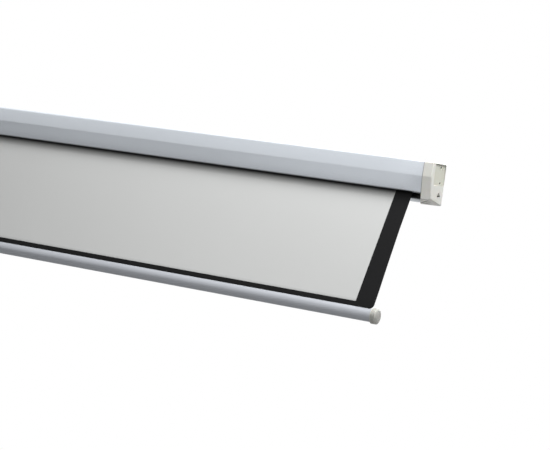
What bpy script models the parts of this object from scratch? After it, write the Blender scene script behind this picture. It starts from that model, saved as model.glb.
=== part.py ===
"""Manual pull-down projector screen: roller case, spring roller, fabric and weighted bar.

Units are metres, +Z is up, +X runs along the case and -Y is the viewing side.
The origin lies midway between the hanging holes of the two end caps, on their common axis.
The case hangs tipped about that axis, as its own weight tips it, while the fabric falls plumb,
so everything in the case is drawn upright in a case frame that one empty tips by CASE_LEAN.
"""

import math

import bmesh
import bpy
import numpy as np
from mathutils import Matrix, Vector

# Clearances
GAP = 0.0003
RUNNING_GAP = 0.0001

# How far a cutting shape runs past the face that it opens
OVERCUT = 0.001

# Edges that turn by more than this are shaded sharp
SHARP_ANGLE = math.radians(30)

# Fabric: the cut width with its side borders, and its thickness
FABRIC_WIDTH = 2.000
FABRIC_THICKNESS = 0.00042
SIDE_BORDER = 0.030
BOTTOM_BORDER = 0.0103
FABRIC_CORNER = 0.009
FABRIC_SPARE = 0.300
DROP_AT_REST = 0.2236
FULL_DROP = 2.000

# Case, in its own upright frame, measured from the hanging hole
CASE_LEAN = math.radians(28.2)
CASE_OVERHANG = 0.0167
CASE_WALL = 0.0015
CASE_FRONT = 0.036
CASE_DEPTH = 0.0553
CASE_TOP = 0.0071
UPPER_FACE = 0.0244
FRONT_HEIGHT = 0.0514
BACK_HEIGHT = 0.0678
FACE_BULGE = 0.0018
FACE_BEND = 0.0100
LIP_SET_BACK = 0.0022
LIP_RETURN = 0.0053
LIP_CLEARANCE = 0.0009
INNER_BEND = 0.0005
FLOOR_DEPTH = 0.030
FLOOR_RISE = 0.0058
FLOOR_HEM = 0.0070
CASE_CORNER = 0.0025

# End caps
CAP_LENGTH = 0.0165
CAP_JOINT = 0.0005
CAP_PROUD = 0.0009
CAP_FRONT_HEIGHT = 0.0615
CAP_BACK_HEIGHT = 0.0716
CAP_FOOT_TAPER = 0.0025
CAP_FOOT_CORNER = 0.0050
CAP_END_WALL = 0.0045
CAP_RIM_ROUND = 0.0016
CAP_CORNER = 0.0028
SKIRT_LENGTH = 0.0095
SKIRT_WALL = 0.0015
RECESS_DEPTH = 0.0018
RECESS_FRONT = 0.0100
RECESS_BACK = 0.0075
RECESS_TOP = 0.0020
RECESS_BOTTOM = 0.0306
RECESS_CORNER = 0.0030
GROOVE_COUNT = 3
GROOVE_START = 0.0026
GROOVE_PITCH = 0.0028
GROOVE_WIDTH = 0.0010
GROOVE_DEPTH = 0.0005
HANG_HOLE_RADIUS = 0.0027
PILOT_HOLE_RADIUS = 0.0021
PILOT_HOLE_AT = (0.0012, -0.0254)
KEYHOLE_WIDTH = 0.0155
KEYHOLE_HEIGHT = 0.0082
KEYHOLE_AT = (0.0016, -0.0447)
KEYHOLE_CORNER = 0.0011
SEAT_RADIUS = 0.0075
SEAT_REACH = 0.0110

# Case screws, driven up through the case floor into each cap's skirt
SCREW_RADIUS = 0.0014
SCREW_LENGTH = 0.0055
SCREW_HEAD_RADIUS = 0.0029
SCREW_HEAD_HEIGHT = 0.0016
SCREW_HEAD_FLANK = 0.00064
SCREW_TIP_LENGTH = 0.0010
SCREW_TIP_RADIUS = 0.0007
SCREW_SOCKET_RADIUS = 0.0011
SCREW_SOCKET_DEPTH = 0.0009
SCREW_INSET = 0.0048
SCREW_SPREAD = 0.0130

# Roller, about its own axis
ROLLER_RADIUS = 0.0170
ROLLER_WALL = 0.0012
ROLLER_OVERHANG = 0.0040
ROLL_TOP_CLEARANCE = 0.0030
PLUG_DEPTH = 0.0240
PLUG_FLANGE = 0.0027
DRIVE_RIM_HEIGHT = 0.0040
DRIVE_RIM_WALL = 0.0018
SPINDLE_RADIUS = 0.0040
SPINDLE_REACH = 0.390
BLADE_THICKNESS = 0.0030
BLADE_LENGTH = 0.0130
HUB_RADIUS = 0.0085
HUB_THICKNESS = 0.0040
NOTCH_WIDTH = 0.0032
NOTCH_DEPTH = 0.0024
ANCHOR_LENGTH = 0.0200
COLLAR_RADIUS = 0.0096
COLLAR_LENGTH = 0.0060
SPRING_RADIUS = 0.0080
SPRING_WIRE = 0.0018
SPRING_TURNS = 28
SPRING_POINTS = 8
IDLE_PIN_RADIUS = 0.0030
BUSH_WALL = 0.0017
BUSH_LENGTH = 0.0080

# Pawls on the drive plug
PAWL_PIVOT = 0.0120
PAWL_PIN_RADIUS = 0.0012
PAWL_BOSS = 0.0024
PAWL_NOSE = 0.0012
PAWL_REACH = 0.0070
PAWL_THICKNESS = 0.0037
PAWL_PIN_DEPTH = 0.0080

# Bottom bar, its end caps and the rod that holds the fabric in it
BAR_RADIUS = 0.01047
BAR_WALL = 0.0013
BAR_SLOT = 0.0030
HEM_ROD_RADIUS = 0.0030
BAR_CAP_RADIUS = 0.01266
BAR_OVERHANG = 0.0156
BAR_CAP_LENGTH = 0.0108
BAR_CAP_WALL = 0.0028
BAR_CAP_ROUND = 0.0022
BAR_CAP_GROOVES = 3
BAR_GROOVE_START = 0.0016
BAR_GROOVE_PITCH = 0.0024
BAR_GROOVE_WIDTH = 0.0011
BAR_GROOVE_DEPTH = 0.0006

# Pull handle and its clip, at the middle of the bar
CLIP_LENGTH = 0.0320
CLIP_WALL = 0.0022
CLIP_MOUTH = 0.0090
LUG_THICKNESS = 0.0035
LUG_RADIUS = 0.0045
HANDLE_DROP = 0.0185
HANDLE_WIRE = 0.0020
HANDLE_WIDTH = 0.0380
HANDLE_HEIGHT = 0.0360
HANDLE_SHOULDER = 0.0040
HANDLE_BEND = 0.0110

# Places worked out from the sizes above, in the case frame
FRONT_Y = -CASE_FRONT
BACK_Y = FRONT_Y + CASE_DEPTH
LIP_Y = FRONT_Y + LIP_SET_BACK
LIP_Z = CASE_TOP - FRONT_HEIGHT
BEND_Z = CASE_TOP - UPPER_FACE
LOW_Z = CASE_TOP - BACK_HEIGHT
FLOOR_Y = BACK_Y - FLOOR_DEPTH
FLOOR_Z = LOW_Z + FLOOR_RISE
FABRIC_END = FABRIC_WIDTH / 2
CASE_END = FABRIC_END + CASE_OVERHANG
CAP_END = CASE_END + CAP_JOINT + CAP_LENGTH
FLOOR_ANGLE = math.atan2(FLOOR_RISE, FLOOR_DEPTH)
FACE_SLOPE = (LIP_SET_BACK + FACE_BULGE) / (BEND_Z - LIP_Z)
ROLLER_END = FABRIC_END + ROLLER_OVERHANG
PLUG_FACE = ROLLER_END + GAP + PLUG_FLANGE
BAR_END = FABRIC_END + BAR_OVERHANG
BAR_CAP_END = BAR_END + GAP + BAR_CAP_WALL
BAR_CAP_START = BAR_CAP_END - BAR_CAP_LENGTH

# Radius of the fabric wound on the roller while the rest of it hangs out
WOUND_LENGTH = FULL_DROP - DROP_AT_REST + FABRIC_SPARE
WOUND_RADIUS = math.sqrt((ROLLER_RADIUS + GAP) ** 2 + WOUND_LENGTH * FABRIC_THICKNESS / math.pi)
ROLLER_Y = (FRONT_Y + BACK_Y) / 2
ROLLER_Z = CASE_TOP - CASE_WALL - ROLL_TOP_CLEARANCE - WOUND_RADIUS

# The fabric turns at the lip's inner edge from the case's own vertical to the plumb line
TURN_Y = LIP_Y + LIP_RETURN + LIP_CLEARANCE + FABRIC_THICKNESS / 2
TURN_Z = LIP_Z


def tipped(y, z):
    """A point of the case frame, as (y, z) with the case tipped."""
    c, s = math.cos(CASE_LEAN), math.sin(CASE_LEAN)
    return y * c - z * s, y * s + z * c


DROP_Y, DROP_TOP = tipped(TURN_Y, TURN_Z)
BAR_Z = DROP_TOP - DROP_AT_REST - BAR_RADIUS


def srgb(red, green, blue):
    """A colour given in 0 to 255 screen values, as the linear values that a shader takes."""
    return [((v / 255 + 0.055) / 1.055) ** 2.4 if v > 10 else v / 3294.6 for v in (red, green, blue)] + [1.0]


def material(name, colour, roughness, metallic=0.0):
    made = bpy.data.materials.new(name)
    made.use_nodes = True
    shader = made.node_tree.nodes["Principled BSDF"]
    shader.inputs["Base Color"].default_value = colour
    shader.inputs["Roughness"].default_value = roughness
    shader.inputs["Metallic"].default_value = metallic
    made.diffuse_color = colour
    return made


def clear_scene():
    for obj in list(bpy.data.objects):
        bpy.data.objects.remove(obj, do_unlink=True)


def collection(name):
    made = bpy.data.collections.new(name)
    bpy.context.scene.collection.children.link(made)
    return made


def empty(name, parent=None, location=(0, 0, 0), rotation=(0, 0, 0)):
    made = bpy.data.objects.new(name, None)
    made.empty_display_size = 0.02
    made.parent = parent
    made.location = location
    made.rotation_euler = rotation
    PARTS.objects.link(made)
    return made


def add(name, mesh, finish, parent, location=(0, 0, 0), rotation=(0, 0, 0), smooth=True):
    """Puts a mesh in the scene as one of the product's pieces."""
    made = bpy.data.objects.new(name, mesh)
    made.parent = parent
    made.location = location
    made.rotation_euler = rotation
    mesh.name = name
    for one in finish if isinstance(finish, tuple) else (finish,):
        mesh.materials.append(one)
    PARTS.objects.link(made)
    if smooth:
        mesh.shade_smooth()
        mesh.set_sharp_from_angle(angle=SHARP_ANGLE)
    return made


def tool(name, mesh, parent, location=(0, 0, 0), rotation=(0, 0, 0)):
    """A helper shape that is only used to cut or join pieces."""
    made = bpy.data.objects.new(name, mesh)
    made.parent = parent
    made.location = location
    made.rotation_euler = rotation
    made.hide_render = True
    made.display_type = "WIRE"
    CUTTERS.objects.link(made)
    return made


def boolean(piece, other, operation):
    modifier = piece.modifiers.new(f"{operation.lower()} {other.name}", "BOOLEAN")
    modifier.operation = operation
    modifier.solver = "EXACT"
    modifier.object = other


def cut(piece, cutter):
    boolean(piece, cutter, "DIFFERENCE")


def fuse(piece, other):
    boolean(piece, other, "UNION")


def settle_shapes():
    """Applies the modifiers of every piece, then marks the sharp edges that they leave."""
    bpy.context.view_layer.update()
    graph = bpy.context.evaluated_depsgraph_get()
    shaped = [obj for obj in PARTS.objects if obj.type == "MESH" and obj.modifiers]
    results = [bpy.data.meshes.new_from_object(obj.evaluated_get(graph)) for obj in shaped]
    for obj, mesh in zip(shaped, results):
        obj.modifiers.clear()
        obj.data = mesh
        mesh.name = obj.name
        mesh.shade_smooth()
        mesh.set_sharp_from_angle(angle=SHARP_ANGLE)


def mesh_from(bm, name="shape"):
    bmesh.ops.recalc_face_normals(bm, faces=bm.faces)
    mesh = bpy.data.meshes.new(name)
    bm.to_mesh(mesh)
    bm.free()
    return mesh


def arc(centre, radius, start, end, steps):
    """Points on an arc in the (y, z) plane; angles in degrees from +Y towards +Z."""
    turns = np.radians(np.linspace(start, end, steps + 1))
    return [(centre[0] + radius * math.cos(t), centre[1] + radius * math.sin(t)) for t in turns]


def rounded(corners, radii, steps=4, closed=True):
    """The outline through these corners, each turned on an arc of its own radius."""
    points = []
    last = len(corners) - 1
    for i, corner in enumerate(corners):
        radius = radii[i]
        if radius == 0 or (not closed and i in (0, last)):
            points.append(corner)
            continue
        at = Vector(corner)
        before = (Vector(corners[i - 1]) - at).normalized()
        after = (Vector(corners[(i + 1) % len(corners)]) - at).normalized()
        half = before.angle(after) / 2
        back = radius / math.tan(half)
        centre = at + (before + after).normalized() * radius / math.sin(half)
        first = at + before * back - centre
        second = at + after * back - centre
        sweep = first.angle_signed(second)
        for k in range(steps + 1):
            spoke = first.copy()
            spoke.rotate(Matrix.Rotation(-sweep * k / steps, 2))
            points.append(tuple(centre + spoke))
    return points


def inset(corners, distance):
    """The outline moved inwards by a distance; the corners run anticlockwise."""
    moved = []
    count = len(corners)
    for i in range(count):
        at = Vector(corners[i])
        before = (at - Vector(corners[i - 1])).normalized()
        after = (Vector(corners[(i + 1) % count]) - at).normalized()
        inward = Vector((-before.y, before.x)) + Vector((-after.y, after.x))
        moved.append(tuple(at + inward * distance / (1 + before.dot(after))))
    return moved


def plate(outline, low_x, high_x):
    """A flat outline in the (y, z) plane, thickened along X between two planes."""
    curve = bpy.data.curves.new("outline", "CURVE")
    curve.dimensions = "2D"
    curve.fill_mode = "BOTH"
    curve.extrude = (high_x - low_x) / 2
    spline = curve.splines.new("POLY")
    spline.points.add(len(outline) - 1)
    for point, (y, z) in zip(spline.points, outline):
        point.co = (y, z, 0, 1)
    spline.use_cyclic_u = True
    holder = bpy.data.objects.new("outline", curve)
    bpy.context.scene.collection.objects.link(holder)
    bpy.context.view_layer.update()
    mesh = bpy.data.meshes.new_from_object(holder.evaluated_get(bpy.context.evaluated_depsgraph_get()))
    bpy.data.objects.remove(holder, do_unlink=True)
    # The curve's own X, Y and Z become Y, Z and X.
    turn = Matrix(((0, 0, 1, 0), (1, 0, 0, 0), (0, 1, 0, 0), (0, 0, 0, 1)))
    mesh.transform(Matrix.Translation(((low_x + high_x) / 2, 0, 0)) @ turn)
    bm = bmesh.new()
    bm.from_mesh(mesh)
    bmesh.ops.remove_doubles(bm, verts=bm.verts, dist=1e-7)
    bmesh.ops.dissolve_limit(bm, angle_limit=math.radians(0.5), verts=bm.verts, edges=bm.edges)
    bpy.data.meshes.remove(mesh)
    return mesh_from(bm)


def loft(low_outline, low_x, high_outline, high_x):
    """A closed body between two outlines with equally many points, in planes across X."""
    bm = bmesh.new()
    low = [bm.verts.new((low_x, y, z)) for y, z in low_outline]
    high = [bm.verts.new((high_x, y, z)) for y, z in high_outline]
    bm.faces.new(low)
    bm.faces.new(high)
    for k in range(len(low)):
        bm.faces.new((low[k - 1], low[k], high[k], high[k - 1]))
    return mesh_from(bm)


def round_rim(mesh, plane_x, width, segments=3):
    """Rounds the outer edge of a plate where it meets the plane x = plane_x."""
    bm = bmesh.new()
    bm.from_mesh(mesh)
    edges = [e for e in bm.edges if all(abs(v.co.x - plane_x) < 1e-6 for v in e.verts)]
    bmesh.ops.bevel(bm, geom=edges, offset=width, segments=segments, profile=0.5, affect="EDGES")
    bm.to_mesh(mesh)
    bm.free()
    return mesh


def rod(radius, low_x, high_x, sides=32, y=0.0, z=0.0):
    """A round rod along X."""
    bm = bmesh.new()
    bmesh.ops.create_cone(
        bm, cap_ends=True, segments=sides, radius1=radius, radius2=radius, depth=high_x - low_x
    )
    bmesh.ops.rotate(bm, verts=bm.verts, matrix=Matrix.Rotation(math.pi / 2, 3, "Y"))
    bmesh.ops.translate(bm, verts=bm.verts, vec=((low_x + high_x) / 2, y, z))
    return mesh_from(bm)


def block(size, centre):
    bm = bmesh.new()
    bmesh.ops.create_cube(bm, size=1.0)
    bmesh.ops.scale(bm, vec=size, verts=bm.verts)
    bmesh.ops.translate(bm, verts=bm.verts, vec=centre)
    return mesh_from(bm)


def turned(name, profile, finish, parent, side=1, steps=32, closed=True):
    """A turned piece on the X axis. The profile gives (radius, distance along X), outer side first,
    from its far end inwards; side -1 turns the piece round to face the other way."""
    bm = bmesh.new()
    verts = [bm.verts.new((radius, 0, along)) for radius, along in profile]
    for a, b in zip(verts, verts[1:]):
        bm.edges.new((a, b))
    if closed:
        bm.edges.new((verts[-1], verts[0]))
    mesh = bpy.data.meshes.new(name)
    bm.to_mesh(mesh)
    bm.free()
    made = add(name, mesh, finish, parent, rotation=(0, side * math.pi / 2, 0))
    screw = made.modifiers.new("turn", "SCREW")
    screw.axis = "Z"
    screw.steps = steps
    screw.render_steps = steps
    screw.use_merge_vertices = True
    screw.merge_threshold = 0.00001
    screw.use_smooth_shade = True
    return made


def ring(name, outer, inner, low_x, high_x, finish, parent, steps=32):
    profile = [(outer, high_x), (outer, low_x), (inner, low_x), (inner, high_x)]
    return turned(name, profile, finish, parent, steps=steps)


def case_shell():
    """The roll-formed case: one open section from the lip's return round to the floor's hem."""
    corners = [
        (LIP_Y + LIP_RETURN, LIP_Z),
        (LIP_Y, LIP_Z),
        (FRONT_Y - FACE_BULGE, BEND_Z),
        (FRONT_Y, CASE_TOP),
        (BACK_Y, CASE_TOP),
        (BACK_Y, LOW_Z),
        (FLOOR_Y, FLOOR_Z),
        (FLOOR_Y, FLOOR_Z + FLOOR_HEM),
    ]
    tight = CASE_WALL + INNER_BEND
    radii = [0, tight, FACE_BEND, CASE_CORNER, CASE_CORNER, CASE_CORNER, tight, 0]
    section = rounded(corners, radii, closed=False)
    bm = bmesh.new()
    verts = [bm.verts.new((-CASE_END, y, z)) for y, z in section]
    edges = [bm.edges.new(pair) for pair in zip(verts, verts[1:])]
    swept = bmesh.ops.extrude_edge_only(bm, edges=edges)
    moved = [item for item in swept["geom"] if isinstance(item, bmesh.types.BMVert)]
    bmesh.ops.translate(bm, verts=moved, vec=(CASE_END * 2, 0, 0))
    mesh = bpy.data.meshes.new("case_shell")
    bm.to_mesh(mesh)
    bm.free()
    made = add("case_shell", mesh, PAINTED_METAL, CASE)
    wall = made.modifiers.new("wall", "SOLIDIFY")
    wall.thickness = CASE_WALL
    wall.offset = -1.0
    wall.use_even_offset = True
    for side in (-1, 1):
        for spot in screw_spots(side):
            cutter = tool("screw_hole", screw_shaft(SCREW_RADIUS + GAP), CASE, spot, (FLOOR_TURN, 0, 0))
            cut(made, cutter)
    return made


def skirt_corners():
    """The line inside the case wall that each cap's skirt follows, anticlockwise in (y, z)."""
    away = CASE_WALL + GAP
    floor_away = away / math.cos(FLOOR_ANGLE)
    slope = FLOOR_RISE / FLOOR_DEPTH
    lip_away = away * (math.hypot(1, FACE_SLOPE) - FACE_SLOPE)
    hem_y = FLOOR_Y + away
    back_y = BACK_Y - away
    return [
        (back_y, CASE_TOP - away),
        (FRONT_Y + away, CASE_TOP - away),
        (LIP_Y + lip_away, LIP_Z + away),
        (LIP_Y + LIP_RETURN + GAP, LIP_Z + away),
        (hem_y, FLOOR_Z + FLOOR_HEM + GAP),
        (hem_y, FLOOR_Z - slope * away + floor_away),
        (back_y, LOW_Z + slope * away + floor_away),
    ]


def cap_outline(outer, away=0.0):
    """The cap's outline at its outer face, or where it meets the case, moved inwards by a distance.
    The underside is level where it meets the case, and at the outer face it climbs to the front."""
    front = FRONT_Y - CAP_PROUD
    back = BACK_Y + CAP_PROUD
    top = CASE_TOP + CAP_PROUD
    low = top - CAP_BACK_HEIGHT
    foot = top - CAP_FRONT_HEIGHT if outer else low
    foot_y = front - FACE_BULGE + FACE_SLOPE * (BEND_Z - foot) + (CAP_FOOT_TAPER if outer else 0)
    corners = [(back, top), (front, top), (front - FACE_BULGE, BEND_Z), (foot_y, foot), (back, low)]
    rounds = [CAP_CORNER, CAP_CORNER, FACE_BEND, CAP_CORNER if outer else CAP_FOOT_CORNER, CAP_CORNER]
    return inset(rounded(corners, rounds), away)


def cap_body(side, away=0.0, over=0.0):
    """The cap's outer form; away makes it thinner all round and over makes it longer at both ends."""
    near = side * (CASE_END + CAP_JOINT - over)
    return loft(cap_outline(False, away), near, cap_outline(True, away), side * (CAP_END + over))


def keyhole_outline():
    """A three-cornered hanging hole, point up."""
    y, z = KEYHOLE_AT
    half = KEYHOLE_WIDTH / 2
    corners = [
        (y, z + KEYHOLE_HEIGHT / 2),
        (y - half, z - KEYHOLE_HEIGHT / 2),
        (y + half, z - KEYHOLE_HEIGHT / 2),
    ]
    return rounded(corners, [KEYHOLE_CORNER] * 3)


def recess_outline():
    """The sunk panel in the upper half of the cap's outer face."""
    top = CASE_TOP + CAP_PROUD
    corners = [
        (BACK_Y + CAP_PROUD - RECESS_BACK, top - RECESS_TOP),
        (FRONT_Y - CAP_PROUD + RECESS_FRONT, top - RECESS_TOP),
        (FRONT_Y - CAP_PROUD + RECESS_FRONT, top - RECESS_BOTTOM),
        (BACK_Y + CAP_PROUD - RECESS_BACK, top - RECESS_BOTTOM),
    ]
    return rounded(corners, [RECESS_CORNER] * 4)


def spans(side, low, high):
    """The pair of X planes at these distances from the middle, on the side that is asked for."""
    return (low, high) if side > 0 else (-high, -low)


def end_cap(side, name):
    """A moulded end cap: shell, skirt that plugs into the case, sunk panel, holes and roller seat."""
    made = add(name, round_rim(cap_body(side), side * CAP_END, CAP_RIM_ROUND), CREAM_PLASTIC, CASE)
    skirt_end = CASE_END - SKIRT_LENGTH
    floor_x = CAP_END - CAP_END_WALL
    soft = CASE_CORNER - CASE_WALL - GAP
    outline = rounded(skirt_corners(), [soft, soft, 0, 0, 0, 0, soft], 2)
    skirt = plate(outline, *spans(side, skirt_end, CASE_END + CAP_JOINT + OVERCUT))
    fuse(made, tool("cap_skirt", skirt, CASE))
    hollow = plate(inset(skirt_corners(), SKIRT_WALL), *spans(side, skirt_end - OVERCUT, floor_x))
    cut(made, tool("cap_hollow", hollow, CASE))
    panel = plate(recess_outline(), *spans(side, CAP_END - RECESS_DEPTH, CAP_END + OVERCUT))
    cut(made, tool("cap_recess", panel, CASE))
    through = spans(side, floor_x - OVERCUT, CAP_END + OVERCUT)
    cut(made, tool("hanging_hole", rod(HANG_HOLE_RADIUS, *through, sides=20), CASE))
    pilot = rod(PILOT_HOLE_RADIUS, *through, 16, *PILOT_HOLE_AT)
    cut(made, tool("pilot_hole", pilot, CASE))
    cut(made, tool("keyhole", plate(keyhole_outline(), *through), CASE))
    foot_grooves(made, side)
    roller_seat(made, side, floor_x)
    for spot in screw_spots(side):
        cut(made, tool("skirt_hole", screw_shaft(SCREW_RADIUS + GAP), CASE, spot, (FLOOR_TURN, 0, 0)))
    return made


def foot_grooves(cap, side):
    """Level grooves round the foot of the cap, all of one depth below its faces."""
    foot = CASE_TOP + CAP_PROUD - CAP_BACK_HEIGHT + GROOVE_START
    low, high = spans(side, CASE_END, CAP_END - CAP_RIM_ROUND * 2)
    core = tool("groove_core", cap_body(side, GROOVE_DEPTH, OVERCUT), CASE)
    for k in range(GROOVE_COUNT):
        size = (high - low, CASE_DEPTH, GROOVE_WIDTH)
        middle = ((low + high) / 2, LIP_Y - CAP_PROUD - OVERCUT + CASE_DEPTH / 2, foot + GROOVE_PITCH * k)
        slab = tool("groove", block(size, middle), CASE)
        cut(slab, core)
        cut(cap, slab)


def roller_seat(cap, side, floor_x):
    """The boss inside the cap: a slot for the spindle's blade, or a round socket for the bush."""
    reach = spans(side, floor_x - SEAT_REACH, floor_x + OVERCUT)
    fuse(cap, tool("seat", rod(SEAT_RADIUS, *reach, y=ROLLER_Y, z=ROLLER_Z), CASE))
    hole = spans(side, floor_x - SEAT_REACH - OVERCUT, floor_x - GAP)
    if side > 0:
        high = SPINDLE_RADIUS * 2 + GAP * 2
        middle = ((hole[0] + hole[1]) / 2, ROLLER_Y, ROLLER_Z)
        shape = block((hole[1] - hole[0], BLADE_THICKNESS + GAP * 2, high), middle)
    else:
        shape = rod(IDLE_PIN_RADIUS + RUNNING_GAP + BUSH_WALL + GAP, *hole, y=ROLLER_Y, z=ROLLER_Z)
    cut(cap, tool("seat_hole", shape, CASE))


def screw_spots(side):
    """Where the two screws of one end enter the case floor, on its outer face."""
    spots = []
    for k in (0.5, -0.5):
        along = FLOOR_DEPTH / 2 + SCREW_SPREAD * k
        spots.append((side * (CASE_END - SCREW_INSET), BACK_Y - along, LOW_Z + along * math.tan(FLOOR_ANGLE)))
    return spots


def screw_shaft(radius):
    """The straight shank that a screw hole has to clear, from below the floor upwards."""
    bm = bmesh.new()
    bmesh.ops.create_cone(
        bm, cap_ends=True, segments=16, radius1=radius, radius2=radius, depth=SCREW_LENGTH * 2
    )
    return mesh_from(bm)


def case_screw(name, spot):
    """A pan-head screw with a round drive socket, seated under the case floor."""
    length = SCREW_LENGTH
    face = -GAP - SCREW_HEAD_HEIGHT
    flank = -GAP - SCREW_HEAD_FLANK
    dome = [(SCREW_HEAD_RADIUS * math.cos(t), flank + (face - flank) * math.sin(t))
            for t in np.radians(np.linspace(0, 60, 4))]
    profile = [(0, length), (SCREW_TIP_RADIUS, length), (SCREW_RADIUS, length - SCREW_TIP_LENGTH)]
    profile += [(SCREW_RADIUS, -GAP), (SCREW_HEAD_RADIUS, -GAP)] + dome
    profile += [(SCREW_SOCKET_RADIUS, face), (SCREW_SOCKET_RADIUS, face + SCREW_SOCKET_DEPTH)]
    profile += [(0, face + SCREW_SOCKET_DEPTH)]
    made = turned(name, profile, STEEL, CASE, steps=16, closed=False)
    made.rotation_euler = (FLOOR_TURN, 0, 0)
    made.location = spot
    return made


def spring_spindle():
    """The fixed spindle: a round rod whose outer end is flattened to a blade."""
    end = CAP_END - CAP_END_WALL - GAP * 2
    shoulder = end - BLADE_LENGTH
    made = add("spring_spindle", rod(SPINDLE_RADIUS, ROLLER_END - SPINDLE_REACH, end, 24), STEEL, ROLLER_SEAT)
    for side in (-1, 1):
        flat = (BLADE_LENGTH + OVERCUT, SPINDLE_RADIUS, (SPINDLE_RADIUS + OVERCUT) * 2)
        middle = (shoulder + flat[0] / 2, side * (BLADE_THICKNESS / 2 + flat[1] / 2), 0)
        cut(made, tool("blade_flat", block(flat, middle), ROLLER_SEAT))
    return made


def ratchet_hub():
    """The notched hub that the pawls drop into, fixed on the spindle."""
    low = PLUG_FACE + GAP
    made = ring("ratchet_hub", HUB_RADIUS, SPINDLE_RADIUS + GAP, low, low + HUB_THICKNESS, STEEL, ROLLER_SEAT)
    for side in (-1, 1):
        size = (HUB_THICKNESS * 2, NOTCH_DEPTH * 2, NOTCH_WIDTH)
        cut(made, tool("notch", block(size, (low, side * HUB_RADIUS, 0)), ROLLER_SEAT))
    return made


def spring_ends():
    """X of the torsion spring's two ends: against the collar and against the anchor plug."""
    collar = ROLLER_END - PLUG_DEPTH - GAP * 2 - COLLAR_LENGTH
    anchor = ROLLER_END - SPINDLE_REACH + ANCHOR_LENGTH
    return anchor + GAP, collar - GAP


def torsion_spring():
    """The counterbalance spring: one unbroken wound wire with straight ends."""
    low, high = spring_ends()
    lead = SPRING_WIRE
    count = SPRING_TURNS * SPRING_POINTS
    points = [(low, 0, SPRING_RADIUS)]
    for i in range(count + 1):
        turn = 2 * math.pi * i / SPRING_POINTS
        along = low + lead + (high - low - 2 * lead) * i / count
        points.append((along, SPRING_RADIUS * math.sin(turn), SPRING_RADIUS * math.cos(turn)))
    points.append((high, points[-1][1], points[-1][2]))
    pitch = (high - low - 2 * lead) / SPRING_TURNS
    print(f"torsion spring: least gap between its turns {1000 * (pitch - SPRING_WIRE):.2f} mm")
    return wire("torsion_spring", points, SPRING_WIRE / 2, 1, STEEL, ROLLER_SEAT)


def wire(name, points, radius, resolution, finish, parent, location=(0, 0, 0)):
    """A round wire through these points, as a closed mesh."""
    curve = bpy.data.curves.new(name, "CURVE")
    curve.dimensions = "3D"
    curve.bevel_depth = radius
    curve.bevel_resolution = resolution
    curve.use_fill_caps = True
    spline = curve.splines.new("POLY")
    spline.points.add(len(points) - 1)
    for point, place in zip(spline.points, points):
        point.co = (*place, 1)
    curve.materials.append(finish)
    made = bpy.data.objects.new(name, curve)
    made.parent = parent
    made.location = location
    PARTS.objects.link(made)
    return made


def spring_side():
    spring_spindle()
    ratchet_hub()
    low = ROLLER_END - PLUG_DEPTH - GAP - COLLAR_LENGTH
    ring("spring_collar", COLLAR_RADIUS, SPINDLE_RADIUS + GAP, low, low + COLLAR_LENGTH, STEEL, ROLLER_SEAT)
    torsion_spring()


def roller_plug(name, side, bore, rim_height=0.0):
    """A moulded plug in one end of the roller tube, with a flange against the tube's end.
    A rim round its outer face, where it has one, keeps the pawls in."""
    inside = ROLLER_RADIUS - ROLLER_WALL - GAP
    face = PLUG_FACE
    profile = [
        (ROLLER_RADIUS, face + rim_height),
        (ROLLER_RADIUS, face - PLUG_FLANGE),
        (inside, face - PLUG_FLANGE),
        (inside, ROLLER_END - PLUG_DEPTH),
        (bore + GAP, ROLLER_END - PLUG_DEPTH),
        (bore + GAP, face),
    ]
    if rim_height:
        rim = ROLLER_RADIUS - DRIVE_RIM_WALL
        profile += [(rim, face), (rim, face + rim_height)]
    return turned(name, profile, GREY_PLASTIC, ROLLER, side)


def roller_parts():
    """What turns with the roller: tube, plugs, idle pin, spring anchor and the fabric wound on it."""
    inside = ROLLER_RADIUS - ROLLER_WALL
    ring("roller_tube", ROLLER_RADIUS, inside, -ROLLER_END, ROLLER_END, GALVANISED, ROLLER)
    ring("wound_fabric", WOUND_RADIUS, ROLLER_RADIUS + GAP, -FABRIC_END, FABRIC_END, SCREEN_WHITE, ROLLER, 40)
    drive = roller_plug("drive_plug", 1, SPINDLE_RADIUS, DRIVE_RIM_HEIGHT)
    for turn in PAWL_TURNS:
        y, z = PAWL_PIVOT * math.cos(turn), PAWL_PIVOT * math.sin(turn)
        hole = rod(PAWL_PIN_RADIUS + GAP, PLUG_FACE - PAWL_PIN_DEPTH - GAP, PLUG_FACE + OVERCUT, 16, y, z)
        cut(drive, tool("pin_hole", hole, ROLLER))
    roller_plug("idle_plug", -1, IDLE_PIN_RADIUS)
    pin_end = CAP_END - CAP_END_WALL - GAP * 2
    pin = rod(IDLE_PIN_RADIUS, -pin_end, -(ROLLER_END - PLUG_DEPTH), 24)
    add("idle_pin", pin, STEEL, ROLLER)
    anchor = ROLLER_END - SPINDLE_REACH
    bore = SPINDLE_RADIUS + GAP
    ring("spring_anchor", inside - GAP, bore, anchor, anchor + ANCHOR_LENGTH, GREY_PLASTIC, ROLLER)


def idle_bush():
    end = CAP_END - CAP_END_WALL - GAP * 2
    inner = IDLE_PIN_RADIUS + RUNNING_GAP
    return ring("idle_bush", inner + BUSH_WALL, inner, -end, -(end - BUSH_LENGTH), GREY_PLASTIC, ROLLER_SEAT)


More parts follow.
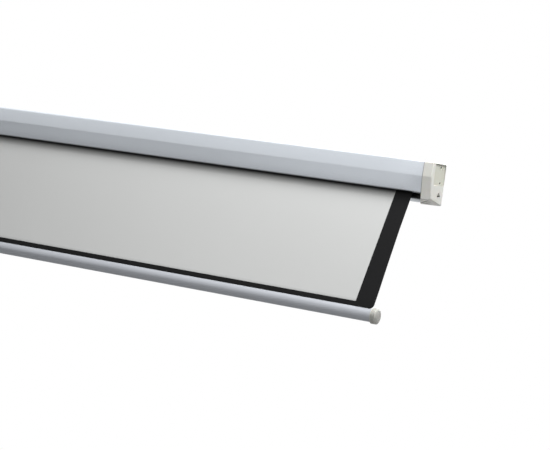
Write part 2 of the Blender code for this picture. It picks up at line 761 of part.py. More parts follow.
def pawl_outline():
    """A pawl about its pivot: round boss, tapering to a nose that rides just clear of the hub."""
    ride = HUB_RADIUS + GAP + PAWL_NOSE
    drop = (PAWL_PIVOT ** 2 + PAWL_REACH ** 2 - ride ** 2) / (2 * PAWL_PIVOT)
    side = math.sqrt(PAWL_REACH ** 2 - drop ** 2)
    lean = math.degrees(math.atan2(-drop, side))
    taper = math.degrees(math.acos((PAWL_BOSS - PAWL_NOSE) / PAWL_REACH))
    nose = (side, -drop)
    boss = arc((0, 0), PAWL_BOSS, lean + taper, lean - taper + 360, 12)
    return boss + arc(nose, PAWL_NOSE, lean - taper, lean + taper, 6)


def pawls():
    """Two pawls on pins in the drive plug, opposite each other."""
    low = PLUG_FACE + GAP
    for label, turn in zip("ab", PAWL_TURNS):
        place = (0, PAWL_PIVOT * math.cos(turn), PAWL_PIVOT * math.sin(turn))
        axis = empty(f"pawl_{label}_axis", ROLLER, place, (turn - math.pi / 2, 0, 0))
        body = plate(pawl_outline(), low, low + PAWL_THICKNESS)
        pawl = add(f"pawl_{label}", body, STEEL, axis)
        bore = rod(PAWL_PIN_RADIUS + GAP, low - OVERCUT, low + PAWL_THICKNESS + OVERCUT, 16)
        cut(pawl, tool("pawl_bore", bore, axis))
        pin = rod(PAWL_PIN_RADIUS, PLUG_FACE - PAWL_PIN_DEPTH, low + PAWL_THICKNESS, 16)
        add(f"pawl_pin_{label}", pin, STEEL, ROLLER, place)


def fabric_sheet(outline):
    """A sheet in the (x, z) plane from an outline of (x, z) points, its borders faces of their own."""
    bm = bmesh.new()
    bm.faces.new([bm.verts.new((x, 0, z)) for x, z in outline])
    for x in (-FABRIC_END + SIDE_BORDER, FABRIC_END - SIDE_BORDER):
        geometry = list(bm.verts) + list(bm.edges) + list(bm.faces)
        bmesh.ops.bisect_plane(bm, geom=geometry, plane_co=(x, 0, 0), plane_no=(1, 0, 0))
    border_z = DROP_TOP - DROP_AT_REST + BOTTOM_BORDER
    geometry = list(bm.verts) + list(bm.edges) + list(bm.faces)
    bmesh.ops.bisect_plane(bm, geom=geometry, plane_co=(0, 0, border_z), plane_no=(0, 0, 1))
    for face in bm.faces:
        middle = face.calc_center_median()
        side = abs(middle.x) > FABRIC_END - SIDE_BORDER
        face.material_index = 1 if side or middle.z < border_z else 0
    swept = bmesh.ops.extrude_face_region(bm, geom=list(bm.faces))
    moved = [item for item in swept["geom"] if isinstance(item, bmesh.types.BMVert)]
    bmesh.ops.translate(bm, verts=moved, vec=(0, FABRIC_THICKNESS, 0))
    bmesh.ops.translate(bm, verts=bm.verts, vec=(0, -FABRIC_THICKNESS / 2, 0))
    return mesh_from(bm)


def screen_fabric():
    """The hanging part of the fabric, from the lip down into the bar's slot."""
    top = DROP_TOP - GAP / 2
    shoulder = DROP_TOP - DROP_AT_REST + GAP
    foot = BAR_Z + HEM_ROD_Z + HEM_ROD_RADIUS + GAP
    inner = FABRIC_END - FABRIC_CORNER
    right = [(x, z) for x, z in arc((inner, shoulder + FABRIC_CORNER), FABRIC_CORNER, 0, -90, 5)]
    left = [(-x, z) for x, z in reversed(right)]
    outline = [(-FABRIC_END, top), (FABRIC_END, top)] + right + [(inner, foot), (-inner, foot)] + left
    sheet = fabric_sheet(outline)
    return add("screen_fabric", sheet, (SCREEN_WHITE, BORDER_BLACK), None, (0, DROP_Y, 0), smooth=False)


def fabric_run():
    """The short stretch of fabric inside the case, from the roll down to the lip."""
    away_y, away_z = TURN_Y - ROLLER_Y, TURN_Z - ROLLER_Z
    reach = WOUND_RADIUS + GAP + FABRIC_THICKNESS / 2
    swing = math.atan2(away_z, away_y) - math.acos(reach / math.hypot(away_y, away_z))
    start = Vector((ROLLER_Y + reach * math.cos(swing), ROLLER_Z + reach * math.sin(swing)))
    end = Vector((TURN_Y, TURN_Z))
    along = (end - start).normalized()
    across = Vector((-along.y, along.x)) * FABRIC_THICKNESS / 2
    end -= along * GAP
    outline = [tuple(start + across), tuple(start - across), tuple(end - across), tuple(end + across)]
    mesh = plate(outline, -FABRIC_END, FABRIC_END)
    return add("fabric_run", mesh, SCREEN_WHITE, CASE, smooth=False)


def bar_tube():
    """The bottom bar: a tube with a slot along its top for the fabric."""
    half = BAR_SLOT / 2
    outer = math.degrees(math.asin(half / BAR_RADIUS))
    inner_radius = BAR_RADIUS - BAR_WALL
    inner = math.degrees(math.asin(half / inner_radius))
    outline = arc((0, 0), BAR_RADIUS, 90 + outer, 450 - outer, 32)
    outline += arc((0, 0), inner_radius, 450 - inner, 90 + inner, 32)
    return add("bottom_bar", plate(outline, -BAR_END, BAR_END), PAINTED_METAL, BAR)


def bar_cap(name, side):
    """A moulded cup over the bar's end, ringed with shallow grooves and rounded at its end."""
    end = BAR_CAP_END
    bore = BAR_RADIUS + GAP
    quarter = np.radians(np.linspace(90, 0, 4))
    profile = [(0, end)]
    for t in quarter:
        radius = BAR_CAP_RADIUS - BAR_CAP_ROUND * (1 - math.cos(t))
        profile.append((radius, end - BAR_CAP_ROUND * (1 - math.sin(t))))
    for k in range(BAR_CAP_GROOVES):
        middle = end - BAR_CAP_ROUND - BAR_GROOVE_START - BAR_GROOVE_PITCH * k
        profile.append((BAR_CAP_RADIUS, middle + BAR_GROOVE_WIDTH / 2))
        profile.append((BAR_CAP_RADIUS - BAR_GROOVE_DEPTH, middle))
        profile.append((BAR_CAP_RADIUS, middle - BAR_GROOVE_WIDTH / 2))
    profile.append((BAR_CAP_RADIUS, BAR_CAP_START))
    profile.append((bore, BAR_CAP_START))
    profile.append((bore, end - BAR_CAP_WALL))
    profile.append((0, end - BAR_CAP_WALL))
    return turned(name, profile, CREAM_PLASTIC, BAR, side, steps=32, closed=False)


def handle_clip():
    """The clip round the bar's middle, open above for the fabric, with two lugs below for the handle."""
    inner = BAR_RADIUS + GAP
    outer = inner + CLIP_WALL
    half = CLIP_MOUTH / 2
    mouth_out = math.degrees(math.asin(half / outer))
    mouth_in = math.degrees(math.asin(half / inner))
    ring_line = arc((0, 0), outer, 90 + mouth_out, 450 - mouth_out, 28)
    ring_line += arc((0, 0), inner, 450 - mouth_in, 90 + mouth_in, 28)
    made = add("handle_clip", plate(ring_line, -CLIP_LENGTH / 2, CLIP_LENGTH / 2), GREY_PLASTIC, BAR)
    root = inner + CLIP_WALL / 2
    lug_line = [(-LUG_RADIUS, -root), *arc((0, -HANDLE_DROP), LUG_RADIUS, 180, 360, 10), (LUG_RADIUS, -root)]
    for side in (-1, 1):
        lug = plate(lug_line, *spans(side, CLIP_LENGTH / 2 - LUG_THICKNESS, CLIP_LENGTH / 2))
        fuse(made, tool("lug", lug, BAR))
    reach = CLIP_LENGTH / 2 + OVERCUT
    hole = rod(HANDLE_WIRE + GAP, -reach, reach, 16, 0, -HANDLE_DROP)
    cut(made, tool("lug_holes", hole, BAR))
    return made


def pull_handle():
    """The wire handle: a bail whose turned-in ends sit in the clip's lugs."""
    side = HANDLE_WIDTH / 2
    inner = CLIP_LENGTH / 2 - LUG_THICKNESS - HANDLE_WIRE / 2
    shoulder = arc((side - HANDLE_SHOULDER, -HANDLE_SHOULDER), HANDLE_SHOULDER, 90, 0, 5)
    bend = arc((side - HANDLE_BEND, -HANDLE_HEIGHT + HANDLE_BEND), HANDLE_BEND, 0, -90, 7)
    half = [(inner, 0)] + shoulder + bend
    line = half + [(-x, z) for x, z in reversed(half)]
    wire("pull_handle", [(x, 0, z) for x, z in line], HANDLE_WIRE, 2, GREY_PLASTIC, HANDLE_AXIS)


clear_scene()
PARTS = collection("pull_down_screen")
CUTTERS = collection("cutters")

PAINTED_METAL = material("painted_metal", srgb(196, 202, 210), 0.38, 0.15)
CREAM_PLASTIC = material("cream_plastic", srgb(214, 214, 206), 0.45)
GREY_PLASTIC = material("grey_plastic", srgb(120, 122, 124), 0.50)
STEEL = material("steel", srgb(168, 168, 170), 0.35, 0.9)
GALVANISED = material("galvanised_steel", srgb(150, 154, 158), 0.45, 0.8)
SCREEN_WHITE = material("screen_white", srgb(214, 214, 212), 0.90)
BORDER_BLACK = material("border_black", srgb(34, 34, 35), 0.80)

# The floor slopes, and its screws stand square to it.
FLOOR_TURN = -FLOOR_ANGLE
PAWL_TURNS = (math.pi / 2, -math.pi / 2)
HEM_ROD_Z = math.sqrt((BAR_RADIUS - BAR_WALL) ** 2 - (BAR_SLOT / 2) ** 2) - math.sqrt(
    (HEM_ROD_RADIUS + GAP) ** 2 - (BAR_SLOT / 2) ** 2
)

CASE = empty("case", rotation=(CASE_LEAN, 0, 0))
ROLLER_SEAT = empty("roller_seat", CASE, (0, ROLLER_Y, ROLLER_Z))
ROLLER = empty("roller_axis", ROLLER_SEAT)
BAR = empty("bar", location=(0, DROP_Y, BAR_Z))
HANDLE_AXIS = empty("handle_axis", BAR, (0, 0, -HANDLE_DROP))

case_shell()
end_cap(1, "end_cap_right")
end_cap(-1, "end_cap_left")
for number, spot in enumerate(screw_spots(1) + screw_spots(-1), 1):
    case_screw(f"cap_screw_{number}", spot)
spring_side()
idle_bush()
roller_parts()
pawls()
fabric_run()
screen_fabric()
bar_tube()
add("hem_rod", rod(HEM_ROD_RADIUS, -BAR_END, BAR_END, 20, 0, HEM_ROD_Z), GREY_PLASTIC, BAR)
bar_cap("bar_cap_right", 1)
bar_cap("bar_cap_left", -1)
handle_clip()
pull_handle()
settle_shapes()

print(f"wound radius {1000 * WOUND_RADIUS:.2f} mm, roller turns {1 / WOUND_RADIUS:.3f} rad per metre of drop")
for label, (y, z) in {
    "roller axis": tipped(ROLLER_Y, ROLLER_Z),
    "fabric turn": (DROP_Y, DROP_TOP),
    "bar centre": (DROP_Y, BAR_Z),
    "handle axis": (DROP_Y, BAR_Z - HANDLE_DROP),
    "case back": tipped(BACK_Y, (CASE_TOP + LOW_Z) / 2),
    "case top": tipped((FRONT_Y + BACK_Y) / 2, CASE_TOP),
}.items():
    print(f"{label}: y {y:.5f}, z {z:.5f}")
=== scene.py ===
from math import acos, asin, atan2, copysign, cos, hypot, pi, radians, sin, sqrt, tan

import bmesh
import bpy
import numpy as np
from mathutils import Matrix, Vector


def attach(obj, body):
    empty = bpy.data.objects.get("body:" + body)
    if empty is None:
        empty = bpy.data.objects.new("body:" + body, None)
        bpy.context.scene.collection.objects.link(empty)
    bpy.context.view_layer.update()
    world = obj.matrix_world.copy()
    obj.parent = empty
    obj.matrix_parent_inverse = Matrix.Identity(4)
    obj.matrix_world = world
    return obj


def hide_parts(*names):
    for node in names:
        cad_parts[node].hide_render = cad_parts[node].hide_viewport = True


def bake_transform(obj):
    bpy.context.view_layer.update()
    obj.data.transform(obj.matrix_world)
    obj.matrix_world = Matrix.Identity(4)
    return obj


# Looks for a manual pull-down projector screen. Metres, +Z up, the picture side faces -Y.
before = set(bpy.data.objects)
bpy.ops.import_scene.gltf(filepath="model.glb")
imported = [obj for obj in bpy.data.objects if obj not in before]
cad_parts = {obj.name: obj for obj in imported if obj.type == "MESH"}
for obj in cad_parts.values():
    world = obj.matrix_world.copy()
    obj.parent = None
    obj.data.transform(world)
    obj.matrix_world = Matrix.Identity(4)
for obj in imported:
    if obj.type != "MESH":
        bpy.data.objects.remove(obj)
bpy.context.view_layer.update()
print("frame loaded:", len(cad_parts), "nodes")

gap = 0.0003  # what touching pieces keep clear of each other

fabric = {
    "halfWidth": 1.0,
    "thickness": 0.00042,
    "sideBorder": 0.030,
    "bottomBorder": 0.0103,
    "corner": 0.009,
    "drop": 0.2236,  # hanging out at rest
}

case = {
    "lean": radians(28.2),  # it hangs tipped about its hanging holes
    "end": 1.0167,
    "front": -0.036,
    "back": 0.0193,
    "top": 0.0071,
    "bend": -0.0173,  # where the front folds between its two faces
    "lip": -0.0443,
    "low": -0.0607,
    "bulge": 0.0018,
    "bendRadius": 0.010,
    "corner": 0.0025,
    "wall": 0.0015,
    "lipSetBack": 0.0022,
    "lipReturn": 0.0053,
    "lipClearance": 0.0009,  # between the lip's inner edge and the fabric
    "foldRadius": 0.0020,
    "floorDepth": 0.030,
    "floorRise": 0.0058,
    "hem": 0.0070,
    "edgeRound": 0.00025,
    "rows": 40,  # along its length
}
lipY = case["front"] + case["lipSetBack"]
# the front edge of the sloping floor
floorY, floorZ = case["back"] - case["floorDepth"], case["low"] + case["floorRise"]
faceSlope = (case["lipSetBack"] + case["bulge"]) / (case["bend"] - case["lip"])
# where the fabric turns over the lip
fabricY = lipY + case["lipReturn"] + case["lipClearance"] + fabric["thickness"] / 2

roller = {
    "y": -0.00835,
    "z": -0.021418,
    "tube": 0.0170,
    "wound": 0.024018,
    "bladeHalfWide": 0.0015,  # the spindle's blade
    "bladeHalfHigh": 0.0040,
    "pin": 0.0030,  # the idle pin, its clearance and the bush round it
    "pinClearance": 0.0001,
    "bushWall": 0.0017,
}


def tipped(y, z):
    # from the case's own upright frame to where it hangs
    c, s = cos(case["lean"]), sin(case["lean"])
    return y * c - z * s, y * s + z * c


turnY, turnZ = tipped(fabricY, case["lip"])
bar = {
    "radius": 0.01047,
    "wall": 0.0013,
    "slot": 0.0030,
    "lipTurn": 0.03,  # radians left free beside the slot for its rounded lips
    "lipBow": 0.00024,
    "lipShare": 0.42,  # half height of a lip as a share of the wall
    "end": 1.0156,
    "rows": 30,
    "arcPoints": 65,
}
barZ = turnZ - fabric["drop"] - bar["radius"]


def degrees(first, last, count):
    # evenly spaced angles, given in degrees and returned in radians
    return np.radians(np.linspace(first, last, count))


def arc(y, z, radius, turns):
    return [(y + radius * cos(t), z + radius * sin(t)) for t in turns]


# camera

viewpoint = {
    "place": (1.9976, -2.0300, -1.1341),
    "aim": (0.7754, -0.0032, -0.1533),
    "roll": -21.94,  # degrees, clockwise as seen
    "lens": 98.18,
    "sensor": 36.0,
    "near": 0.05,
    "far": 60.0,
}


def makeCamera():
    data = bpy.data.cameras.new("photoCamera")
    data.lens = viewpoint["lens"]
    data.sensor_width = viewpoint["sensor"]
    data.clip_start = viewpoint["near"]
    data.clip_end = viewpoint["far"]
    camera = bpy.data.objects.new("photoCamera", data)
    bpy.context.scene.collection.objects.link(camera)
    place = Vector(viewpoint["place"])
    forward = Vector(viewpoint["aim"]) - place
    turn = forward.to_track_quat("-Z", "Y").to_matrix()
    turn = turn @ Matrix.Rotation(-radians(viewpoint["roll"]), 3, "Z")
    camera.matrix_world = Matrix.Translation(place) @ turn.to_4x4()
    bpy.context.scene.camera = camera


makeCamera()
print("camera set")


# materials

noiseLow, noiseHigh = 0.3, 0.7  # between these lies most of any noise


def newMaterial(name, colour, roughness, metallic=0.0):
    made = bpy.data.materials.new(name)
    made.use_nodes = True
    made.diffuse_color = (*colour, 1)
    shader = made.node_tree.nodes["Principled BSDF"]
    shader.inputs["Base Color"].default_value = (*colour, 1)
    shader.inputs["Roughness"].default_value = roughness
    shader.inputs["Metallic"].default_value = metallic
    return made, made.node_tree, shader


def srgb(red, green, blue):
    # 0 to 255 screen values to linear ones
    return tuple(((v / 255 + 0.055) / 1.055) ** 2.4 for v in (red, green, blue))


def overObject(tree, socket):
    # lays a pattern over the object's own coordinates
    where = tree.nodes.new("ShaderNodeTexCoord")
    tree.links.new(where.outputs["Object"], socket)


def calculate(tree, operation, source, other):
    # other is a number or an output
    made = tree.nodes.new("ShaderNodeMath")
    made.operation = operation
    tree.links.new(source, made.inputs[0])
    if isinstance(other, float):
        made.inputs[1].default_value = other
    else:
        tree.links.new(other, made.inputs[1])
    return made.outputs[0]


def noise(tree, scale, detail=3.0, rough=0.5, stretch=(1, 1, 1)):
    # longer along any axis with a small stretch
    mapping = tree.nodes.new("ShaderNodeMapping")
    mapping.inputs["Scale"].default_value = stretch
    made = tree.nodes.new("ShaderNodeTexNoise")
    made.inputs["Scale"].default_value = scale
    made.inputs["Detail"].default_value = detail
    made.inputs["Roughness"].default_value = rough
    overObject(tree, mapping.inputs["Vector"])
    tree.links.new(mapping.outputs["Vector"], made.inputs["Vector"])
    return made.outputs["Fac"]


def ramp(tree, source, stops):
    made = tree.nodes.new("ShaderNodeValToRGB")
    elements = made.color_ramp.elements
    while len(elements) < len(stops):
        elements.new(0.5)
    for element, (at, colour) in zip(elements, stops):
        element.position = at
        element.color = (*colour, 1)
    tree.links.new(source, made.inputs["Fac"])
    return made.outputs["Color"]


def spread(tree, source, low, high):
    # a number from low to high as noise goes over most of its range
    made = tree.nodes.new("ShaderNodeMapRange")
    made.inputs["From Min"].default_value = noiseLow
    made.inputs["From Max"].default_value = noiseHigh
    made.inputs["To Min"].default_value = low
    made.inputs["To Max"].default_value = high
    tree.links.new(source, made.inputs["Value"])
    return made.outputs["Result"]


def bump(tree, shader, source, height, strength=1.0, under=None):
    made = tree.nodes.new("ShaderNodeBump")
    made.inputs["Strength"].default_value = strength
    made.inputs["Distance"].default_value = height
    tree.links.new(source, made.inputs["Height"])
    if under is not None:
        tree.links.new(under, made.inputs["Normal"])
    tree.links.new(made.outputs["Normal"], shader.inputs["Normal"])
    return made.outputs["Normal"]


def paintedShade(tree, colour, reach, power):
    # painted shade: the colour multiplied darker where the surface lies in a corner or under an edge,
    # standing in for the shade that falls there
    covered = tree.nodes.new("ShaderNodeAmbientOcclusion")
    covered.samples = 12
    covered.inputs["Distance"].default_value = reach
    made = tree.nodes.new("ShaderNodeMix")
    made.data_type = "RGBA"
    made.blend_type = "MULTIPLY"
    made.inputs["Factor"].default_value = 1.0
    colours = [socket for socket in made.inputs if socket.type == "RGBA"]
    tree.links.new(colour, colours[0])
    tree.links.new(calculate(tree, "POWER", covered.outputs["AO"], power), colours[1])
    return [socket for socket in made.outputs if socket.type == "RGBA"][0]


def tones(colour, steps):
    # ramp stops of one colour, from steps of (where, how bright)
    return [(at, tuple(c * by for c in colour)) for at, by in steps]


def roughen(tree, shader, source, low, high):
    tree.links.new(spread(tree, source, low, high), shader.inputs["Roughness"])


# In every look, a noise is its scale, detail, roughness and stretch, a bump is its height in metres
# and its strength, and painted shade is how far the shade painted into corners and under edges reaches and
# how strong it is.
casePaintLook = {
    "colour": srgb(228, 234, 241),
    "metallic": 0.28,
    "roughness": 0.4,
    "roughnessRange": (0.34, 0.44),
    "gloss": 0.5,
    "patches": (6.0, 4.0, 0.6, (0.15, 1, 1)),
    "tone": ((0.25, 0.965), (0.75, 1.02)),
    "smears": (30.0, 4.0, 0.6, (0.1, 1, 1)),
    "drawn": (220.0, 2.0, 0.5, (0.01, 1, 1)),
    "drawnBump": (0.00002, 0.5),
    "peel": (900.0, 2.0, 0.5),
    "peelBump": (0.00006, 0.6),
    # shade painted into the case's corners, such as the dark line beside the end caps
    "paintedShade": (0.006, 1.5),
    # strong shade painted onto the inside faces of the case, which then render dark under the lip
    "insidePaintedShade": (0.030, 6.5),
}
barPaintLook = {
    "colour": srgb(174, 177, 183),
    "metallic": 0.30,
    "roughness": 0.36,
    "roughnessRange": (0.36, 0.46),
    "gloss": 0.25,
    "patches": (60.0, 3.0, 0.5, (0.02, 1, 1)),
    "tone": ((noiseLow, 0.95), (noiseHigh, 1.03)),
    "smears": (40.0, 4.0, 0.6, (0.2, 1, 1)),
    "drawn": (500.0, 2.0, 0.5, (0.005, 1, 1)),
    "drawnBump": (0.00002, 0.6),
    "peel": (1100.0, 2.0),
    "peelBump": (0.00004, 0.5),
}


def makePaint(name, look, corners=None):
    made, tree, shader = newMaterial(name, look["colour"], look["roughness"], look["metallic"])
    coat = ramp(tree, noise(tree, *look["patches"]), tones(look["colour"], look["tone"]))
    # corners, when given, paint shade into the surface's corners and under its edges
    if corners:
        coat = paintedShade(tree, coat, *corners)
    tree.links.new(coat, shader.inputs["Base Color"])
    roughen(tree, shader, noise(tree, *look["smears"]), *look["roughnessRange"])
    drawn = bump(tree, shader, noise(tree, *look["drawn"]), *look["drawnBump"])
    bump(tree, shader, noise(tree, *look["peel"]), *look["peelBump"], drawn)
    shader.inputs["Specular IOR Level"].default_value = look["gloss"]
    return made


plasticLook = {
    "cream": srgb(245, 245, 241),
    # darker and yellower than the cream: partly painted shade of the sunk panel, partly its own matte finish
    "panel": srgb(226, 227, 216),
    "barCap": srgb(189, 189, 185),
    "grey": srgb(122, 125, 128),
    "aged": (0.98, 0.975, 0.93),  # what its yellowed patches keep of red, green and blue
    "fresh": 1.02,
    "mottle": (45.0, 5.0, 0.6),
    "rubbed": (120.0, 3.0, 0.6),
    "roughnessRange": (-0.05, 0.07),
    "grain": (1400.0, 2.0),
    "grainBump": (0.00005, 0.6),
    "gloss": 0.3,
    "glow": 0.03,
    "glowDepth": 0.002,
    # shade painted into the sunk panel's walls and other corners of the plastic
    "paintedShade": (0.004, 1.2),
}


def makePlastic(name, colour, roughness=0.45):
    look = plasticLook
    made, tree, shader = newMaterial(name, colour, roughness)
    aged = tuple(c * by for c, by in zip(colour, look["aged"]))
    fresh = tuple(c * look["fresh"] for c in colour)
    mottled = ramp(tree, noise(tree, *look["mottle"]), [(noiseLow, aged), (noiseHigh, fresh)])
    # the mottled colour, with shade painted into its corners
    tree.links.new(paintedShade(tree, mottled, *look["paintedShade"]), shader.inputs["Base Color"])
    roughen(tree, shader, noise(tree, *look["rubbed"]), *(roughness + by for by in look["roughnessRange"]))
    bump(tree, shader, noise(tree, *look["grain"]), *look["grainBump"])
    shader.inputs["Specular IOR Level"].default_value = look["gloss"]
    shader.inputs["Subsurface Weight"].default_value = look["glow"]
    shader.inputs["Subsurface Scale"].default_value = look["glowDepth"]
    return made


steelLook = {
    "metallic": 0.95,
    "streaks": (90.0, 3.0, 0.5),
    "tone": ((noiseLow, 0.88), (noiseHigh, 1.08)),
    "spangles": 160.0,
    "spangleTone": ((0.0, 0.8), (1.0, 1.15)),
    "rubbed": (150.0, 4.0, 0.6),
    "roughnessRange": (-0.08, 0.1),
    "scratches": (900.0, 2.0, 0.5),
    "scratchBump": (0.00003, 0.5),
}


def makeSteel(name, colour, roughness, along=(0.02, 1, 1), spangled=False):
    look = steelLook
    made, tree, shader = newMaterial(name, colour, roughness, look["metallic"])
    if spangled:
        cells = tree.nodes.new("ShaderNodeTexVoronoi")
        cells.inputs["Scale"].default_value = look["spangles"]
        overObject(tree, cells.inputs["Vector"])
        tone = ramp(tree, cells.outputs["Color"], tones(colour, look["spangleTone"]))
    else:
        tone = ramp(tree, noise(tree, *look["streaks"], along), tones(colour, look["tone"]))
    tree.links.new(tone, shader.inputs["Base Color"])
    rubbed = noise(tree, *look["rubbed"], along)
    roughen(tree, shader, rubbed, *(roughness + by for by in look["roughnessRange"]))
    bump(tree, shader, noise(tree, *look["scratches"], along), *look["scratchBump"])
    return made


clothLook = {
    "white": srgb(192, 193, 192),
    "black": srgb(17, 17, 18),
    "cloud": (3.0, 3.0, 0.5),
    "rubbed": (260.0, 2.0),
    "roughnessRange": (-0.04, 0.04),
    "threads": 320.0,
    "threadWander": 1.5,
    "threadBump": (0.00003, 0.3),
    "grain": (1600.0, 2.0),
    "grainBump": (0.00008, 0.5),
    # shadow painted onto the fabric just under the case's lip, and shade in its other corners
    "paintedShade": (0.016, 4.0),
}


def makeCloth(name, colour, roughness, contrast, gloss, sheen):
    # coated projection fabric: a fine pebbled face over a faint weave
    look = clothLook
    made, tree, shader = newMaterial(name, colour, roughness)
    stops = tones(colour, ((noiseLow, 1 - contrast), (noiseHigh, 1 + contrast / 2)))
    clouded = ramp(tree, noise(tree, *look["cloud"]), stops)
    # the clouded colour, with shadow painted under the lip and shade in corners
    tree.links.new(paintedShade(tree, clouded, *look["paintedShade"]), shader.inputs["Base Color"])
    roughen(tree, shader, noise(tree, *look["rubbed"]), *(roughness + by for by in look["roughnessRange"]))
    weave = tree.nodes.new("ShaderNodeTexWave")
    weave.bands_direction = "X"
    weave.inputs["Scale"].default_value = look["threads"]
    weave.inputs["Distortion"].default_value = look["threadWander"]
    overObject(tree, weave.inputs["Vector"])
    threads = bump(tree, shader, weave.outputs["Fac"], *look["threadBump"])
    bump(tree, shader, noise(tree, *look["grain"]), *look["grainBump"], threads)
    shader.inputs["Specular IOR Level"].default_value = gloss
    shader.inputs["Sheen Weight"].default_value = sheen
    return made


casePaint = makePaint("casePaint", casePaintLook, casePaintLook["paintedShade"])
# the case paint again for the inside of the case, with much stronger painted shade
shadedCaseInside = makePaint("shadedCaseInside", casePaintLook, casePaintLook["insidePaintedShade"])
barPaint = makePaint("barPaint", barPaintLook)
creamPlastic = makePlastic("creamPlastic", plasticLook["cream"])
# the darker plastic for the sunk panel, its darkness partly painted shade of the recess
shadedPanelPlastic = makePlastic("shadedPanelPlastic", plasticLook["panel"], roughness=0.55)
barCapPlastic = makePlastic("barCapPlastic", plasticLook["barCap"])
greyPlastic = makePlastic("greyPlastic", plasticLook["grey"], roughness=0.5)
steel = makeSteel("turnedSteel", srgb(172, 172, 174), roughness=0.34)
springSteel = makeSteel("springSteel", srgb(120, 122, 126), roughness=0.4, along=(1, 1, 1))
galvanised = makeSteel("galvanisedSteel", srgb(158, 162, 166), roughness=0.45, spangled=True)
whiteCloth = makeCloth("whiteCloth", clothLook["white"], 0.85, contrast=0.012, gloss=0.25, sheen=0.05)
blackCloth = makeCloth("blackCloth", clothLook["black"], 0.72, contrast=0.10, gloss=0.12, sheen=0.0)
print("materials made")


# mesh helpers

def addObject(name, mesh, materials):
    made = bpy.data.objects.new(name, mesh)
    bpy.context.scene.collection.objects.link(made)
    for one in materials:
        mesh.materials.append(one)
    return made


def addMesh(name, bm, materials, outward=True):
    # outward turns every face away from the inside
    if outward:
        bmesh.ops.recalc_face_normals(bm, faces=bm.faces)
    mesh = bpy.data.meshes.new(name)
    bm.to_mesh(mesh)
    bm.free()
    return addObject(name, mesh, materials)


def smooth(mesh, sharpAngle):
    mesh.shade_smooth()
    mesh.set_sharp_from_angle(angle=radians(sharpAngle))


def bakeModifiers(obj):
    bpy.context.view_layer.update()
    baked = bpy.data.meshes.new_from_object(obj.evaluated_get(bpy.context.evaluated_depsgraph_get()))
    obj.modifiers.clear()
    obj.data = baked
    baked.name = obj.name


def softShade(obj, sharpAngle):
    # smooth shading that keeps flat faces flat
    smooth(obj.data, sharpAngle)
    weigh = obj.modifiers.new("weigh", "WEIGHTED_NORMAL")
    weigh.mode = "FACE_AREA"
    weigh.weight = 100
    weigh.keep_sharp = True
    bakeModifiers(obj)


def joinRings(bm, rings):
    # faces between neighbouring rings, where a ring of one point is the middle of an end
    for a, b in zip(rings, rings[1:]):
        steps = max(len(a), len(b))
        for k in range(steps):
            n = (k + 1) % steps
            corners = (a[k % len(a)], a[n % len(a)], b[n % len(b)], b[k % len(b)])
            bm.faces.new(list(dict.fromkeys(corners)))


def turned(name, profile, place, materials, steps):
    # a turned piece from points (radius, along); place puts (across, across, along) where it belongs
    bm = bmesh.new()
    rings = []
    for radius, along in profile:
        turns = [2 * pi * k / steps for k in range(steps)] if radius else [0]
        rings.append([bm.verts.new(place(radius * cos(t), radius * sin(t), along)) for t in turns])
    joinRings(bm, rings)
    return addMesh(name, bm, materials)


def roundCorners(corners, radii, steps=8, closed=True):
    # the outline through these corners, each turned on an arc of its own radius
    points = []
    last = len(corners) - 1
    for i, corner in enumerate(corners):
        radius = radii[i]
        if radius == 0 or (not closed and i in (0, last)):
            points.append(tuple(corner))
            continue
        at = Vector(corner)
        before = (Vector(corners[i - 1]) - at).normalized()
        after = (Vector(corners[(i + 1) % len(corners)]) - at).normalized()
        half = before.angle(after) / 2
        centre = at + (before + after).normalized() * radius / sin(half)
        first = at + before * radius / tan(half) - centre
        second = at + after * radius / tan(half) - centre
        sweep = first.angle_signed(second)
        for k in range(steps + 1):
            spoke = first.copy()
            spoke.rotate(Matrix.Rotation(-sweep * k / steps, 2))
            points.append(tuple(centre + spoke))
    return points


# case shell

def makeCase():
    corners = [
        (lipY + case["lipReturn"], case["lip"]),
        (lipY, case["lip"]),
        (case["front"] - case["bulge"], case["bend"]),
        (case["front"], case["top"]),
        (case["back"], case["top"]),
        (case["back"], case["low"]),
        (floorY, floorZ),
        (floorY, floorZ + case["hem"]),
    ]
    fold, tight = case["foldRadius"], case["corner"]
    radii = [0, fold, case["bendRadius"], tight, tight, tight, fold, 0]
    section = roundCorners(corners, radii, 8, closed=False)
    bm = bmesh.new()
    rows = []
    for x in np.linspace(-case["end"], case["end"], case["rows"] + 1):
        rows.append([bm.verts.new((x, *tipped(y, z))) for y, z in section])
    for a, b in zip(rows, rows[1:]):
        for k in range(len(section) - 1):
            bm.faces.new((a[k], a[k + 1], b[k + 1], b[k]))
    shell = addMesh("caseShell", bm, [casePaint, shadedCaseInside], outward=False)
    wall = shell.modifiers.new("wall", "SOLIDIFY")
    wall.thickness = case["wall"]
    wall.offset = -1
    wall.use_even_offset = True
    # the inner faces take the second material, the copy with stronger painted shade
    wall.material_offset = 1
    edge = shell.modifiers.new("edge", "BEVEL")
    edge.width = case["edgeRound"]
    edge.segments = 2
    edge.limit_method = "ANGLE"
    edge.angle_limit = radians(60)
    bakeModifiers(shell)
    smooth(shell.data, 30)
    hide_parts("case_shell")
    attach(shell, "case")


makeCase()
print("case shell made")


# end caps

